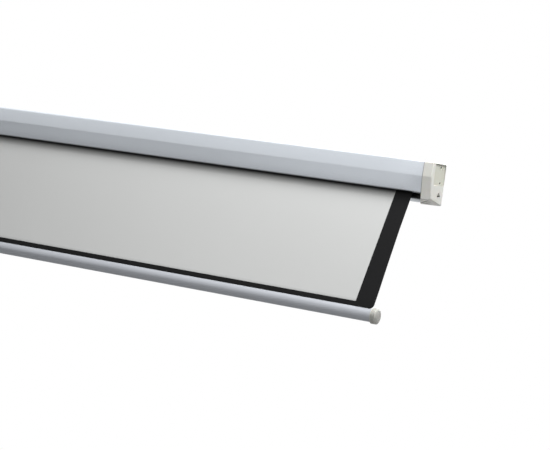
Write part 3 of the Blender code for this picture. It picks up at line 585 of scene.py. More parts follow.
cap = {
    "joint": 0.00005,
    "length": 0.01695,
    "proud": 0.0009,
    "frontHeight": 0.0615,
    "backHeight": 0.0716,
    "footTaper": 0.0025,  # how far the foot of the outer face stands back
    "footCorner": 0.0050,
    "endWall": 0.0045,
    "rimRound": 0.0016,
    "edgeRound": 0.0003,
    "jointRound": 0.0005,
    "corner": 0.0028,
    "skirtLength": 0.0095,
    "skirtWall": 0.0015,
    "recessDepth": 0.0014,
    "recessFront": 0.0100,
    "recessBack": 0.0024,
    "recessTop": 0.0020,
    "recessBottom": 0.0380,
    "recessShallow": 0.0003,  # its depth at the foot
    "recessCorner": 0.0030,
    "recessLip": 0.00015,
    "recessFoot": 0.00015,
    "grooves": 3,
    "grooveStart": 0.0026,
    "groovePitch": 0.0028,
    "grooveWidth": 0.0010,
    "grooveDepth": 0.0005,
    "hangHole": 0.0027,
    "pilotHole": 0.0021,
    "pilotAt": (0.0012, -0.0254),
    "keyholeWidth": 0.0155,
    "keyholeHeight": 0.0082,
    "keyholeAt": (0.0016, -0.0447),
    "keyholeCorner": 0.0011,
    "holeRound": 0.0002,
    "seatRadius": 0.0075,
    "seatReach": 0.0110,
    "cut": 0.001,  # how far a cutting shape runs past a face
}
capJoint = case["end"] + cap["joint"]
capEnd = capJoint + cap["length"]
capFront, capBack = case["front"] - cap["proud"], case["back"] + cap["proud"]
capTop = case["top"] + cap["proud"]


def inset(loop, distance):
    # the closed loop moved towards its inside; it runs anticlockwise in (y, z)
    moved = []
    count = len(loop)
    for i in range(count):
        at = Vector(loop[i])
        before = (at - Vector(loop[i - 1])).normalized()
        after = (Vector(loop[(i + 1) % count]) - at).normalized()
        inward = Vector((-before.y, before.x)) + Vector((-after.y, after.x))
        moved.append(tuple(at + inward * distance / (1 + before.dot(after))))
    return moved


def anticlockwise(loop):
    area = sum(a[0] * b[1] - b[0] * a[1] for a, b in zip(loop, loop[1:] + loop[:1]))
    return loop if area > 0 else loop[::-1]


def circle(radius, y=0.0, z=0.0, steps=40):
    return arc(y, z, radius, [2 * pi * k / steps for k in range(steps)])


class Skin:
    # a closed shell put together from loops in planes across X
    def __init__(self):
        self.bm = bmesh.new()

    def loop(self, points, x):
        return [self.bm.verts.new((x, y, z)) for y, z in points]

    def wall(self, a, b):
        count = len(a)
        for k in range(count):
            self.bm.faces.new((a[k], a[(k + 1) % count], b[(k + 1) % count], b[k]))

    def walls(self, rows):
        for a, b in zip(rows, rows[1:]):
            self.wall(a, b)

    def fill(self, *loops):
        edges = []
        for one in loops:
            for k in range(len(one)):
                pair = (one[k], one[(k + 1) % len(one)])
                edges.append(self.bm.edges.get(pair) or self.bm.edges.new(pair))
        bmesh.ops.triangle_fill(self.bm, use_beauty=True, use_dissolve=False, edges=edges)

    def turnEdge(self, points, x, radius, outward, inwardX, steps=4):
        # a rounded edge between a face at x and a wall; returns its loop on the face and on the wall
        rows = []
        for t in degrees(0, 90, steps + 1):
            away = outward * radius * (1 - sin(t))
            rows.append(self.loop(inset(points, away), x + inwardX * radius * (1 - cos(t))))
        self.walls(rows)
        return rows[0], rows[-1]


def block(name, low, high, lowX, highX):
    # a plain solid between two outlines with as many points, for cutting
    skin = Skin()
    ends = [skin.loop(low, lowX), skin.loop(high, highX)]
    skin.wall(*ends)
    skin.fill(ends[0])
    skin.fill(ends[1])
    return addMesh(name, skin.bm, [])


def combine(obj, others, operation="DIFFERENCE"):
    for one in others:
        step = obj.modifiers.new("combine", "BOOLEAN")
        step.operation = operation
        step.solver = "MANIFOLD"
        step.object = one
    bakeModifiers(obj)
    smooth(obj.data, 35)
    for one in others:
        bpy.data.objects.remove(one, do_unlink=True)


def capOutline(share):
    # from where the cap meets the case (0) to its outer face (1), where the underside climbs to the front
    low, high = capTop - cap["backHeight"], capTop - cap["frontHeight"]
    loops = []
    for foot, taper, corner in ((low, 0, cap["footCorner"]), (high, cap["footTaper"], cap["corner"])):
        bendY = capFront - case["bulge"]
        footY = bendY + faceSlope * (case["bend"] - foot) + taper
        corners = [(capBack, capTop), (capFront, capTop), (bendY, case["bend"])]
        corners += [(footY, foot), (capBack, low)]
        radii = [cap["corner"], cap["corner"], case["bendRadius"], corner, cap["corner"]]
        loops.append(roundCorners(corners, radii, 10))
    return [tuple(Vector(a).lerp(Vector(b), share)) for a, b in zip(*loops)]


def footGrooves():
    # level bands round the foot, each less the cap's body, so that all are of one depth below its faces
    half = cap["grooveWidth"] / 2
    front, back = lipY - cap["proud"] - cap["cut"], capBack + cap["cut"]
    body = [inset(capOutline(share), cap["grooveDepth"]) for share in (0, 1)]
    bands = []
    for k in range(cap["grooves"]):
        z = capTop - cap["backHeight"] + cap["grooveStart"] + cap["groovePitch"] * k
        level = [(back, z + half), (front, z + half), (front, z - half), (back, z - half)]
        band = block("groove", level, level, case["end"], capEnd - cap["rimRound"] * 2)
        combine(band, [block("capBody", *body, capJoint - cap["cut"], capEnd + cap["cut"])])
        bands.append(band)
    return bands


def skirtLine(away):
    slope = case["floorRise"] / case["floorDepth"]
    lift = away * (hypot(1, slope) + slope)
    return [
        (case["back"] - away, case["top"] - away),
        (case["front"] + away, case["top"] - away),
        (lipY + away * (hypot(1, faceSlope) - faceSlope), case["lip"] + away),
        (lipY + case["lipReturn"] + gap, case["lip"] + away),
        (floorY + away, floorZ + case["hem"] + gap),
        (floorY + away, floorZ + away * (hypot(1, slope) - slope)),
        (case["back"] - away, case["low"] + lift),
    ]


def capSides(skin):
    # joint edge, sides and rounded rim; returns the loop at the joint and the one on the outer face
    rows = []
    for t in degrees(0, 90, 6):
        into, away = cap["jointRound"] * (1 - cos(t)), cap["jointRound"] * (1 - sin(t))
        rows.append(skin.loop(inset(capOutline(into / cap["length"]), away), capJoint + into))
    for t in degrees(90, 0, 7):
        into, away = cap["rimRound"] * (1 - cos(t)), cap["rimRound"] * (1 - sin(t))
        rows.append(skin.loop(inset(capOutline(1 - into / cap["length"]), away), capEnd - into))
    skin.walls(rows)
    return rows[0], rows[-1]


def capSkirt(skin, jointFace, inner):
    # the skirt that seats in the case, and the hollow; returns the loop at the hollow's end
    away = case["wall"] + gap
    soft = case["corner"] - away
    skirt = roundCorners(skirtLine(away), [soft, soft, 0, 0, 0, 0, soft], 3)
    hollow = inset(anticlockwise(skirtLine(away)), cap["skirtWall"])
    top = skin.loop(skirt, capJoint)
    foot = skin.loop(skirt, case["end"] - cap["skirtLength"])
    hollowFoot = skin.loop(hollow, case["end"] - cap["skirtLength"])
    hollowTop = skin.loop(hollow, inner)
    skin.fill(jointFace, top)
    skin.wall(top, foot)
    skin.fill(foot, hollowFoot)
    skin.wall(hollowFoot, hollowTop)
    return hollowTop


def rollerSeat(skin, side, inner):
    # a boss with a slot for the spindle's blade, or a round socket for the bush; returns its root
    y, z = roller["y"], roller["z"]
    seat = circle(cap["seatRadius"], y, z)
    if side > 0:
        wide, high = roller["bladeHalfWide"] + gap, roller["bladeHalfHigh"] + gap
        socket = [(y + wide, z + high), (y - wide, z + high), (y - wide, z - high), (y + wide, z - high)]
    else:
        socket = circle(roller["pin"] + roller["pinClearance"] + roller["bushWall"] + gap, y, z)
    root = skin.loop(seat, inner)
    seatFace, seatWall = skin.turnEdge(seat, inner - cap["seatReach"], cap["edgeRound"], 1, 1, 2)
    skin.wall(root, seatWall)
    mouth = skin.loop(socket, inner - cap["seatReach"])
    end = skin.loop(socket, inner - gap)
    skin.fill(seatFace, mouth)
    skin.wall(mouth, end)
    skin.fill(end)
    return root


def panelX(z):
    # where the sunk panel lies at this height, as it climbs towards its foot
    down = (capTop - cap["recessTop"] - z) / (cap["recessBottom"] - cap["recessTop"])
    return capEnd - cap["recessDepth"] + (cap["recessDepth"] - cap["recessShallow"]) * min(max(down, 0), 1)


def lay(loop, above=0.0):
    for v in loop:
        v.co.x = panelX(v.co.z) + above


def sunkPanel(skin):
    # returns its loop on the outer face and the one round its floor
    front, back = capFront + cap["recessFront"], capBack - cap["recessBack"]
    high, low = capTop - cap["recessTop"], capTop - cap["recessBottom"]
    corners = [(back, high), (front, high), (front, low), (back, low)]
    panel = roundCorners(corners, [cap["recessCorner"]] * 4, 8)
    face, wall = skin.turnEdge(panel, capEnd, cap["recessLip"], -1, -1, 3)
    rows = [wall]
    for t in degrees(0, 90, 4):
        rows.append(skin.loop(inset(panel, cap["recessFoot"] * (1 - cos(t))), capEnd))
        lay(rows[-1], cap["recessFoot"] * (1 - sin(t)))
    skin.walls(rows)
    return face, rows[-1]


def makeEndCap(side, name, node):
    skin = Skin()
    inner = capEnd - cap["endWall"]
    jointFace, rimFace = capSides(skin)
    hollowTop = capSkirt(skin, jointFace, inner)
    seatRoot = rollerSeat(skin, side, inner)
    panelFace, panelFloor = sunkPanel(skin)

    # holes through to the hollow
    y, z = cap["keyholeAt"]
    half, tall = cap["keyholeWidth"] / 2, cap["keyholeHeight"] / 2
    corners = [(y, z + tall), (y - half, z - tall), (y + half, z - tall)]
    holes = (
        (circle(cap["hangHole"]), panelX(0)),
        (circle(cap["pilotHole"], *cap["pilotAt"]), panelX(cap["pilotAt"][1])),
        (roundCorners(corners, [cap["keyholeCorner"]] * 3, 6), capEnd),
    )
    mouths, ends = [], []
    for hole, x in holes:
        face, wall = skin.turnEdge(hole, x, cap["holeRound"], -1, -1, 3)
        ends.append(skin.loop(hole, inner))
        skin.wall(wall, ends[-1])
        mouths.append(face)
    hangMouth, pilotMouth, keyholeMouth = mouths
    lay(hangMouth)
    lay(pilotMouth)
    skin.fill(rimFace, panelFace, keyholeMouth)
    skin.fill(panelFloor, hangMouth, pilotMouth)
    skin.fill(hollowTop, seatRoot, *ends)

    made = addMesh(name, skin.bm, [creamPlastic, shadedPanelPlastic])
    # faces on the sunk panel's floor take the darker plastic, which partly paints the recess's shade
    for face in made.data.polygons:
        sunk = abs(face.center.x - panelX(face.center.z)) < cap["recessShallow"] / 3
        face.material_index = 1 if sunk and face.normal.x > 0.9 else 0
    combine(made, footGrooves())
    made.data.transform(Matrix.Rotation(case["lean"], 4, "X"))
    if side < 0:
        made.data.transform(Matrix.Scale(-1, 4, (1, 0, 0)))
        made.data.flip_normals()
    softShade(made, 40)
    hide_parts(node)
    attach(made, "case")


makeEndCap(1, "endCapRight", "end_cap_right")
makeEndCap(-1, "endCapLeft", "end_cap_left")
print("end caps made")


# case screws, up through the floor of the case

screw = {
    "radius": 0.0014,
    "length": 0.0055,
    "head": 0.0029,
    "headHeight": 0.0016,
    "headEdge": 0.0002,
    "flank": 0.00064,
    "tip": 0.0007,
    "tipLength": 0.0010,
    "inset": 0.0048,
    "spread": 0.0130,
    "crossHalfWidth": 0.00035,
    "crossReach": 0.00165,
    "crossDepth": 0.0009,
    "crossTaper": (0.55, 0.8),
    "crossCut": 0.0005,  # how far its cutter stands out of the head
}


def screwCross(face):
    # a tapering cross, for cutting the screw's head
    half, reach = screw["crossHalfWidth"], screw["crossReach"]
    arm = [(reach, half), (half, half), (half, reach)]
    cross = []
    for _ in range(4):
        cross += arm
        arm = [(-y, x) for x, y in arm]
    narrowX, narrowY = screw["crossTaper"]
    bm = bmesh.new()
    wide = [bm.verts.new((x, y, face - screw["crossCut"])) for x, y in cross]
    deep = [bm.verts.new((x * narrowX, y * narrowY, face + screw["crossDepth"])) for x, y in cross]
    bm.faces.new(wide)
    bm.faces.new(deep[::-1])
    joinRings(bm, [wide, deep])
    return addMesh("screwCross", bm, [])


def makeScrew(name, node, side, shift):
    slope = atan2(case["floorRise"], case["floorDepth"])
    along = case["floorDepth"] / 2 + screw["spread"] * shift
    spot = Vector((side * (case["end"] - screw["inset"]), case["back"] - along,
                   case["low"] + along * tan(slope)))
    face = -gap - screw["headHeight"]
    flank = -gap - screw["flank"]
    profile = [
        (0, screw["length"]),
        (screw["tip"], screw["length"]),
        (screw["radius"], screw["length"] - screw["tipLength"]),
        (screw["radius"], -gap),
        (screw["head"] - screw["headEdge"], -gap),
        (screw["head"], -gap - screw["headEdge"]),
    ]
    for t in degrees(0, 82, 9):
        profile.append((screw["head"] * cos(t), flank + (face - flank) * sin(t)))
    profile.append((0, face))
    made = turned(name, profile, lambda x, y, z: (x, y, z), [steel], steps=48)
    combine(made, [screwCross(face)])
    stand = Matrix.Translation(spot) @ Matrix.Rotation(-slope, 4, "X")
    made.data.transform(Matrix.Rotation(case["lean"], 4, "X") @ stand)
    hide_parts(node)
    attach(made, "case")


for number, (side, shift) in enumerate(((1, 0.5), (1, -0.5), (-1, 0.5), (-1, -0.5)), 1):
    makeScrew(f"capScrew{number}", f"cap_screw_{number}", side, shift)
print("case screws made")


# screen fabric: the run inside the case, the drop, and what goes into the bar's slot

sheet = {
    "lean": 0.0012,  # the drop drifts this far back on its way down, so that it can be blended evenly
    "stretch": 0.2133,  # the length that lengthens as the screen comes down
    "flare": ((0.0, 0.0), (0.074, 0.0004), (0.150, 0.0023), (0.188, 0.0036), (0.2236, 0.0042)),
    "flarePower": 1.5,
    "hemRod": 0.0033,
    "lipRows": 6,
    "lipRise": 0.0008,  # the fabric's height above the turning point where it comes over the lip
    "firstRow": 0.0006,
    "dropRows": 72,
    "columnStep": 0.02,
    "columnSpare": 0.005,  # even steps end this far from the border
    "rimSpare": 0.0005,  # and the border's own steps this far from its rim
    "rimColumns": (0, 0.003, 0.006),
    "edgeColumn": 0.0012,
    "woundSteps": 44,  # in each turn on the roller
    "woundColumns": 13,
    "woundShare": 0.85,  # so that neighbouring turns stay apart
    "merge": 1e-6,
}


def hemTop():
    # the top of the hem rod over the bar's middle, as the rod hangs on the inner edges of the slot
    half, inner, rod = bar["slot"] / 2, bar["radius"] - bar["wall"], sheet["hemRod"]
    return sqrt(inner ** 2 - half ** 2) - sqrt(rod ** 2 - half ** 2) + rod


def leanAt(down):
    # how far back the drop stands this far below the lip
    w = min(max(down / sheet["stretch"], 0), 1)
    return turnY - sheet["lean"] / 2 + sheet["lean"] * (0.5 - sin(asin(1 - 2 * w) / 3))


def flareAt(down):
    spots = sheet["flare"]
    return float(np.interp(down, [a for a, _ in spots], [b for _, b in spots]))


def rollTouch():
    # where the fabric leaves the roll, in the case frame
    awayY, awayZ = fabricY - roller["y"], case["lip"] - roller["z"]
    reach = roller["wound"] + gap + fabric["thickness"] / 2
    swing = atan2(awayZ, awayY) - acos(reach / hypot(awayY, awayZ))
    return swing, Vector((roller["y"] + reach * cos(swing), roller["z"] + reach * sin(swing)))


def screenColumns(border, rim):
    # even steps over the white, closer ones over the black border and round the corner
    half = fabric["halfWidth"]
    right = [*np.arange(0, border - sheet["columnSpare"], sheet["columnStep"]), border]
    steps = [border + fabric["sideBorder"] * k / 5 for k in (1, 2, 3)]
    right += [x for x in steps if x < rim - sheet["rimSpare"]]
    right += [rim + x for x in sheet["rimColumns"]] + [half - sheet["edgeColumn"], half]
    return [-x for x in reversed(right)] + right[1:]


def screenRows(start, lip, cornerTop):
    # as (y, z, how far below the lip)
    drop = fabric["drop"]
    rows = [(*start.lerp(lip, k / sheet["lipRows"]), -1.0) for k in range(sheet["lipRows"] + 1)]
    downs = list(np.linspace(sheet["firstRow"], cornerTop, sheet["dropRows"]))
    downs += [cornerTop + fabric["corner"] * sin(t) for t in degrees(0, 90, 9)[1:]]
    downs += [drop - fabric["bottomBorder"]]
    rows += [(leanAt(d), turnZ - d, d) for d in sorted(set(downs))]
    held, top = turnY + sheet["lean"] / 2, barZ + hemTop()
    rows += [(held, top + (barZ + bar["radius"] - top) * k / 3, drop + 1) for k in (2, 1, 0)]
    return rows


def addCloth(name, bm, thickness):
    made = addMesh(name, bm, [whiteCloth, blackCloth], outward=False)
    made.data.shade_smooth()
    body = made.modifiers.new("thickness", "SOLIDIFY")
    body.thickness = thickness
    body.offset = 0
    return made


def makeScreen():
    half = fabric["halfWidth"]
    border = half - fabric["sideBorder"]
    rim = half - fabric["corner"]
    drop = fabric["drop"]
    cornerTop = drop - fabric["corner"]
    columns = screenColumns(border, rim)
    start = Vector(tipped(*rollTouch()[1]))
    lip = Vector((leanAt(0), turnZ + sheet["lipRise"]))
    rows = screenRows(start, lip, cornerTop)
    bm = bmesh.new()
    grid = []
    for y, z, down in rows:
        line = []
        for x in columns:
            out = abs(x)
            if down > cornerTop and out > rim:
                into = min((down - cornerTop) / fabric["corner"], 1)
                out = rim + (out - rim) * sqrt(max(1 - into * into, 0))
            if down > 0 and out > border:
                share = min((out - border) / fabric["sideBorder"], 1)
                out += flareAt(min(down, drop)) * share ** sheet["flarePower"]
            line.append(bm.verts.new((copysign(out, x), y, z)))
        grid.append(line)
    for r in range(len(rows) - 1):
        for c in range(len(columns) - 1):
            middle = abs(columns[c] + columns[c + 1]) / 2
            if rows[r + 1][2] > drop and middle > rim:
                continue
            face = bm.faces.new((grid[r][c], grid[r][c + 1], grid[r + 1][c + 1], grid[r + 1][c]))
            low = rows[r + 1][2] > drop - fabric["bottomBorder"] + sheet["merge"]
            face.material_index = 1 if middle > border or low else 0
    bmesh.ops.remove_doubles(bm, verts=bm.verts, dist=sheet["merge"])
    loose = [v for v in bm.verts if not v.link_faces]
    bmesh.ops.delete(bm, geom=loose, context="VERTS")
    made = addCloth("screenFabric", bm, fabric["thickness"])
    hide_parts("screen_fabric", "fabric_run")
    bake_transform(made)


makeScreen()
print("screen fabric made")


# the fabric still wound on the roller, one long sheet

def makeRoll():
    swing = rollTouch()[0]
    pitch = fabric["thickness"]
    outer = roller["wound"] - pitch / 2
    turns = (roller["wound"] - roller["tube"] - gap) / pitch
    steps = int(turns * sheet["woundSteps"])
    half, border = fabric["halfWidth"], fabric["halfWidth"] - fabric["sideBorder"]
    columns = [-half, -border, *np.linspace(-border, border, sheet["woundColumns"])[1:-1], border, half]
    bm = bmesh.new()
    grid = []
    for k in range(steps + 1):
        turn = 2 * pi * turns * k / steps
        radius = outer - pitch * turn / (2 * pi)
        y = roller["y"] + radius * cos(swing - turn)
        z = roller["z"] + radius * sin(swing - turn)
        grid.append([bm.verts.new((x, *tipped(y, z))) for x in columns])
    for a, b in zip(grid, grid[1:]):
        for c in range(len(columns) - 1):
            face = bm.faces.new((a[c], b[c], b[c + 1], a[c + 1]))
            face.material_index = 1 if c in (0, len(columns) - 2) else 0
    made = addCloth("woundFabric", bm, fabric["thickness"] * sheet["woundShare"])
    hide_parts("wound_fabric")
    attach(made, "roller")


makeRoll()
print("wound fabric made")


# bottom bar

def barSection():
    # the slotted tube's outline, with a rounded lip on each side of the slot
    half = bar["slot"] / 2
    outer, inner = bar["radius"], bar["radius"] - bar["wall"]
    quarter, full = pi / 2, 2 * pi
    outerGap = asin(half / outer) + bar["lipTurn"]
    innerGap = asin(half / inner) + bar["lipTurn"]

    def wall(radius, first, last):
        return arc(0, 0, radius, np.linspace(first, last, bar["arcPoints"]))

    def lip(side):
        spots = []
        for t in degrees(-60, 60, 5):
            y = side * (half + bar["lipBow"] * (1 - cos(t)))
            spots.append((y, (outer + inner) / 2 - bar["wall"] * bar["lipShare"] * sin(t)))
        return spots

    section = wall(outer, quarter + outerGap, quarter - outerGap + full) + lip(1)
    return section + wall(inner, quarter - innerGap + full, quarter + innerGap) + lip(-1)[::-1]


def makeBar():
    section = barSection()
    bm = bmesh.new()
    rings = []
    for x in np.linspace(-bar["end"], bar["end"], bar["rows"] + 1):
        rings.append([bm.verts.new((x, turnY + y, barZ + z)) for y, z in section])
    joinRings(bm, rings)
    bm.faces.new(rings[0])
    bm.faces.new(rings[-1][::-1])
    made = addMesh("bottomBar", bm, [barPaint])
    smooth(made.data, 50)
    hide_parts("bottom_bar")
    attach(made, "screen")


makeBar()
print("bottom bar made")


# caps on the bar's ends

barCap = {
    "radius": 0.01266,
    "length": 0.0108,
    "wall": 0.0028,
    "crown": 0.0034,
    "square": 0.65,  # 1 makes the end a round dome, and less a squarer one
    "rings": 5,
    "ringDepth": 0.0006,
    "grooves": 3,
    "start": 0.0010,
    "pitch": 0.0022,
    "width": 0.0011,
    "depth": 0.0006,
    "run": 1.25,  # from a groove's middle to where its side ends, in half widths
    "edge": 0.0004,
}


def makeBarCap(side, name, node):
    end = bar["end"] + gap + barCap["wall"]
    inner = end - barCap["length"]
    bore = bar["radius"] + gap
    shoulder = end - barCap["crown"]
    profile = [(0, end)]
    for t in degrees(0, 90, 61)[1:]:
        # the rings grow fainter towards the middle
        out, up = sin(t) ** barCap["square"], cos(t) ** barCap["square"]
        ring = barCap["ringDepth"] * out * (1 - cos(2 * pi * barCap["rings"] * out)) / 2
        profile.append((barCap["radius"] * out, shoulder + (barCap["crown"] - ring) * up))
    for k in range(barCap["grooves"]):
        middle = shoulder - barCap["start"] - barCap["pitch"] * k
        for part in np.linspace(barCap["run"], -barCap["run"], 11):
            share = (1 + cos(pi * part / barCap["run"])) / 2
            profile.append((barCap["radius"] - barCap["depth"] * share, middle + part * barCap["width"] / 2))
    edge = barCap["edge"]
    profile += arc(barCap["radius"] - edge, inner + edge, edge, degrees(0, -90, 5))
    profile += [(bore + edge, inner), (bore, inner + edge)]
    profile += [(bore, end - barCap["wall"]), (0, end - barCap["wall"])]

    def place(y, z, x):
        return side * x, turnY + y, barZ + z

    made = turned(name, profile, place, [barCapPlastic], steps=96)
    smooth(made.data, 35)
    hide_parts(node)
    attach(made, "screen")


makeBarCap(1, "barCapRight", "bar_cap_right")
makeBarCap(-1, "barCapLeft", "bar_cap_left")
print("bar caps made")


# clip round the middle of the bar, with lugs for the handle

clip = {
    "length": 0.0320,
    "wall": 0.0022,
    "mouth": 0.0090,
    "lugThick": 0.0035,
    "lugRadius": 0.0045,
    "axisDrop": 0.0185,
    "edgeRound": 0.0004,
    "lipRound": 0.0009,
    "arcPoints": 60,
}
handle = {"wire": 0.0020, "width": 0.0380, "height": 0.0360, "shoulder": 0.0040, "bend": 0.0110}


def prism(name, outline, low, high, edgeRound, materials):
    # a plate across X with rounded edges at both faces
    skin = Skin()
    outline = anticlockwise(outline)
    lowFace, lowWall = skin.turnEdge(outline, low, edgeRound, 1, 1, 3)
    highFace, highWall = skin.turnEdge(outline, high, edgeRound, 1, -1, 3)
    skin.wall(lowWall, highWall)
    skin.fill(lowFace)
    skin.fill(highFace)
    return addMesh(name, skin.bm, materials)


def clipOutline():
    # an open ring round the bar, with rounded ends at its mouth
    inner = bar["radius"] + gap
    outer = inner + clip["wall"]
    middle, thick = (inner + outer) / 2, clip["wall"] / 2
    opening = asin((clip["mouth"] + clip["lipRound"]) / 2 / inner)
    first, last = pi / 2 + opening, pi / 2 - opening + 2 * pi

    def wall(radius, start, stop):
        return arc(0, 0, radius, np.linspace(start, stop, clip["arcPoints"]))

    def lip(angle, way):
        spots = []
        for t in degrees(0, 180, 7)[1:-1]:
            radius, turn = middle + way * thick * cos(t), angle + way * thick * sin(t) / middle
            spots.append((radius * cos(turn), radius * sin(turn)))
        return spots

    return wall(outer, first, last) + lip(last, 1) + wall(inner, last, first) + lip(first, -1), middle


def makeClip():
    outline, root = clipOutline()
    half = clip["length"] / 2
    base = prism("handleClip", outline, -half, half, clip["edgeRound"], [greyPlastic])
    radius = clip["lugRadius"]
    lug = [(-radius, -root)]
    lug += arc(0, -clip["axisDrop"], radius, np.linspace(pi, 2 * pi, 25))
    lug += [(radius, -root)]
    lugs = []
    for side in (-1, 1):
        edges = sorted((side * (half - clip["lugThick"]), side * half))
        lugs.append(prism("lug", lug, *edges, clip["edgeRound"], []))
    combine(base, lugs, "UNION")
    hole = circle(handle["wire"] + gap, 0, -clip["axisDrop"], 32)
    combine(base, [block("lugHoles", hole, hole, -clip["length"], clip["length"])])
    softShade(base, 35)
    base.data.transform(Matrix.Translation((0, turnY, barZ)))
    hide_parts("handle_clip")
    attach(base, "screen")


def sweep(name, points, radius, materials, sides=28):
    # a round wire through these points, with softened ends
    bm = bmesh.new()
    points = [Vector(p) for p in points]
    along = [(b - a).normalized() for a, b in zip(points, points[1:])]
    turns = [along[0]] + [(a + b).normalized() for a, b in zip(along, along[1:])] + [along[-1]]
    soft = radius / 4
    stations = [(points[0], turns[0], radius - soft), (points[0] + turns[0] * soft, turns[0], radius)]
    stations += [(p, t, radius) for p, t in zip(points[1:-1], turns[1:-1])]
    stations += [(points[-1] - turns[-1] * soft, turns[-1], radius), (points[-1], turns[-1], radius - soft)]
    angles = [2 * pi * k / sides for k in range(sides)]
    rings = []
    for at, turn, wide in stations:
        up = turn.cross(Vector((0, 1, 0))).normalized()
        out = up.cross(turn).normalized()
        rings.append([bm.verts.new(at + (out * cos(t) + up * sin(t)) * wide) for t in angles])
    joinRings(bm, rings)
    bm.faces.new(rings[0])
    bm.faces.new(rings[-1][::-1])
    made = addMesh(name, bm, materials)
    smooth(made.data, 50)
    return made


def makeHandle():
    side = handle["width"] / 2
    inner = clip["length"] / 2 - clip["lugThick"] - handle["wire"] / 2
    shoulder, bend = handle["shoulder"], handle["bend"]
    half = [(inner, 0), *arc(side - shoulder, -shoulder, shoulder, degrees(90, 0, 11))]
    half += arc(side - bend, bend - handle["height"], bend, degrees(0, -90, 19))
    line = half + [(-x, z) for x, z in reversed(half)]
    axis = barZ - clip["axisDrop"]
    made = sweep("pullHandle", [(x, turnY, axis + z) for x, z in line], handle["wire"], [greyPlastic])
    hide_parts("pull_handle")
    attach(made, "handle")


makeClip()
makeHandle()
print("clip and handle made")


# counterbalance spring inside the roller

spring = {"low": 0.6343, "high": 0.9727, "radius": 0.0080, "wire": 0.0018, "turns": 28, "steps": 28}


def makeSpring():
    lead = spring["wire"]
    count = spring["turns"] * spring["steps"]
    low, high, radius = spring["low"], spring["high"], spring["radius"]
    points = [(low, 0, radius)]
    for k in range(count + 1):
        turn = 2 * pi * k / spring["steps"]
        x = low + lead + (high - low - 2 * lead) * k / count
        points.append((x, radius * sin(turn), radius * cos(turn)))
    points.append((high, *points[-1][1:]))
    curve = bpy.data.curves.new("torsionSpring", "CURVE")
    curve.dimensions = "3D"
    curve.bevel_depth = spring["wire"] / 2
    curve.bevel_resolution = 3
    curve.use_fill_caps = True
    line = curve.splines.new("POLY")
    line.points.add(len(points) - 1)
    for point, (x, y, z) in zip(line.points, points):
        point.co = (x, *tipped(roller["y"] + y, roller["z"] + z), 1)
    made = addObject("torsionSpring", curve, [springSteel])
    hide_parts("torsion_spring")
    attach(made, "case")


makeSpring()
print("spring made")


# finishes for the pieces that keep their CAD shape

finishes = {
    "roller_tube": galvanised,
    "drive_plug": greyPlastic,
    "idle_plug": greyPlastic,
    "idle_bush": greyPlastic,
    "spring_anchor": greyPlastic,
    "hem_rod": greyPlastic,
    "spring_spindle": steel,
    "ratchet_hub": steel,
    "spring_collar": steel,
    "idle_pin": steel,
    "pawl_a": steel,
    "pawl_b": steel,
    "pawl_pin_a": steel,
    "pawl_pin_b": steel,
}
for node, finish in finishes.items():
    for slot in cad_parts[node].material_slots:
        slot.link = "OBJECT"
        slot.material = finish
print("CAD pieces finished:", len(finishes))


# floor, background and lights

studio = {
    "floorZ": -2.45,
    "floorHalf": 6.0,
    "floorColour": (0.80, 0.80, 0.80),
    "floorRoughness": (0.66, 0.76),
    "floorMottle": (2.0, 4.0),
    "floorGlow": 0.75,  # how much of the floor's look is plain white to the camera
    "ambient": 0.10,
    "aim": (0.95, 0.0, -0.15),
    # (name, degrees round from the viewing side towards +X, degrees up, distance, side in metres, watts)
    "lamps": (
        ("keyFront", 10, 58, 2.2, 0.45, 39.8),
        ("keyRight", 40, 58, 2.2, 0.45, 35.0),
        ("fill", 15, 30, 1.5, 0.8, 7.0),
        ("end", 75, 30, 1.5, 0.8, 3.3),
        ("lowFront", -20, -30, 1.5, 0.8, 1.8),
        ("lowEnd", 75, -30, 1.5, 0.8, 1.3),
        ("back", 190, 42, 2.6, 1.4, 20.0),
    ),
    "floorLamp": (-0.5, -2.4, -1.3),  # throws a soft glow up from the floor
    "floorLampSize": 1.0,
    "floorLampPower": 9.9,
}


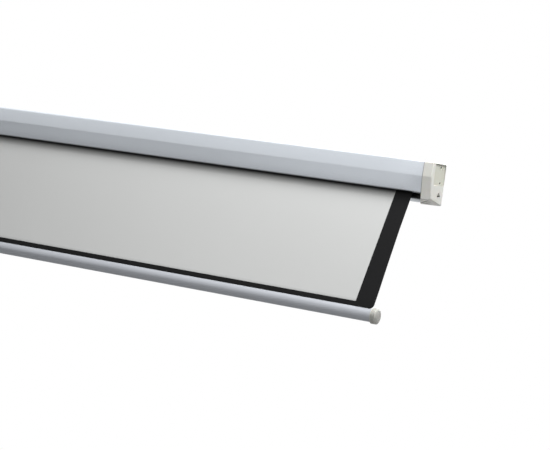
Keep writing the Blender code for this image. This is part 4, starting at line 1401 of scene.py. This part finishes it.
def makeFloor():
    bm = bmesh.new()
    half = studio["floorHalf"]
    corners = ((-half, -half), (half, -half), (half, half), (-half, half))
    bm.faces.new([bm.verts.new((x, y, studio["floorZ"])) for x, y in corners])
    made, tree, shader = newMaterial("floorPaint", studio["floorColour"], studio["floorRoughness"][0])
    roughen(tree, shader, noise(tree, *studio["floorMottle"]), *studio["floorRoughness"])
    path = tree.nodes.new("ShaderNodeLightPath")
    share = calculate(tree, "MULTIPLY", path.outputs["Is Camera Ray"], studio["floorGlow"])
    glow = tree.nodes.new("ShaderNodeEmission")
    mix = tree.nodes.new("ShaderNodeMixShader")
    tree.links.new(share, mix.inputs[0])
    tree.links.new(shader.outputs[0], mix.inputs[1])
    tree.links.new(glow.outputs[0], mix.inputs[2])
    tree.links.new(mix.outputs[0], tree.nodes["Material Output"].inputs["Surface"])
    floor = addMesh("floor", bm, [made])


def makeBackground():
    # white to the camera, in reflections and through what is clear, and a faint light on everything
    world = bpy.data.worlds.new("studio")
    bpy.context.scene.world = world
    world.use_nodes = True
    tree = world.node_tree
    tree.nodes.clear()
    path = tree.nodes.new("ShaderNodeLightPath")
    mix = tree.nodes.new("ShaderNodeMixShader")
    out = tree.nodes.new("ShaderNodeOutputWorld")
    for place, strength in ((1, studio["ambient"]), (2, 1.0)):
        plain = tree.nodes.new("ShaderNodeBackground")
        plain.inputs["Color"].default_value = (1, 1, 1, 1)
        plain.inputs["Strength"].default_value = strength
        tree.links.new(plain.outputs[0], mix.inputs[place])
    seen = path.outputs["Is Camera Ray"]
    for ray in ("Is Glossy Ray", "Is Transmission Ray"):
        seen = calculate(tree, "MAXIMUM", seen, path.outputs[ray])
    tree.links.new(seen, mix.inputs[0])
    tree.links.new(mix.outputs[0], out.inputs[0])


def makeLamp(name, place, aim, size, power):
    data = bpy.data.lights.new(name, "AREA")
    data.shape = "SQUARE"
    data.size = size
    data.energy = power
    lamp = bpy.data.objects.new(name, data)
    lamp.location = place
    lamp.rotation_euler = (Vector(place) - Vector(aim)).to_track_quat("Z", "Y").to_euler()
    lamp.visible_camera = False
    bpy.context.scene.collection.objects.link(lamp)


def lightStudio():
    aim = Vector(studio["aim"])
    for name, azimuth, elevation, distance, size, power in studio["lamps"]:
        a, e = radians(azimuth), radians(elevation)
        toward = Vector((sin(a) * cos(e), -cos(a) * cos(e), sin(e)))
        makeLamp(name, aim + toward * distance, aim, size, power)
    place = studio["floorLamp"]
    under = (*place[:2], studio["floorZ"])
    makeLamp("floorGlow", place, under, studio["floorLampSize"], studio["floorLampPower"])


makeFloor()
makeBackground()
lightStudio()
bpy.context.scene.view_settings.view_transform = "Standard"
print("studio lit")
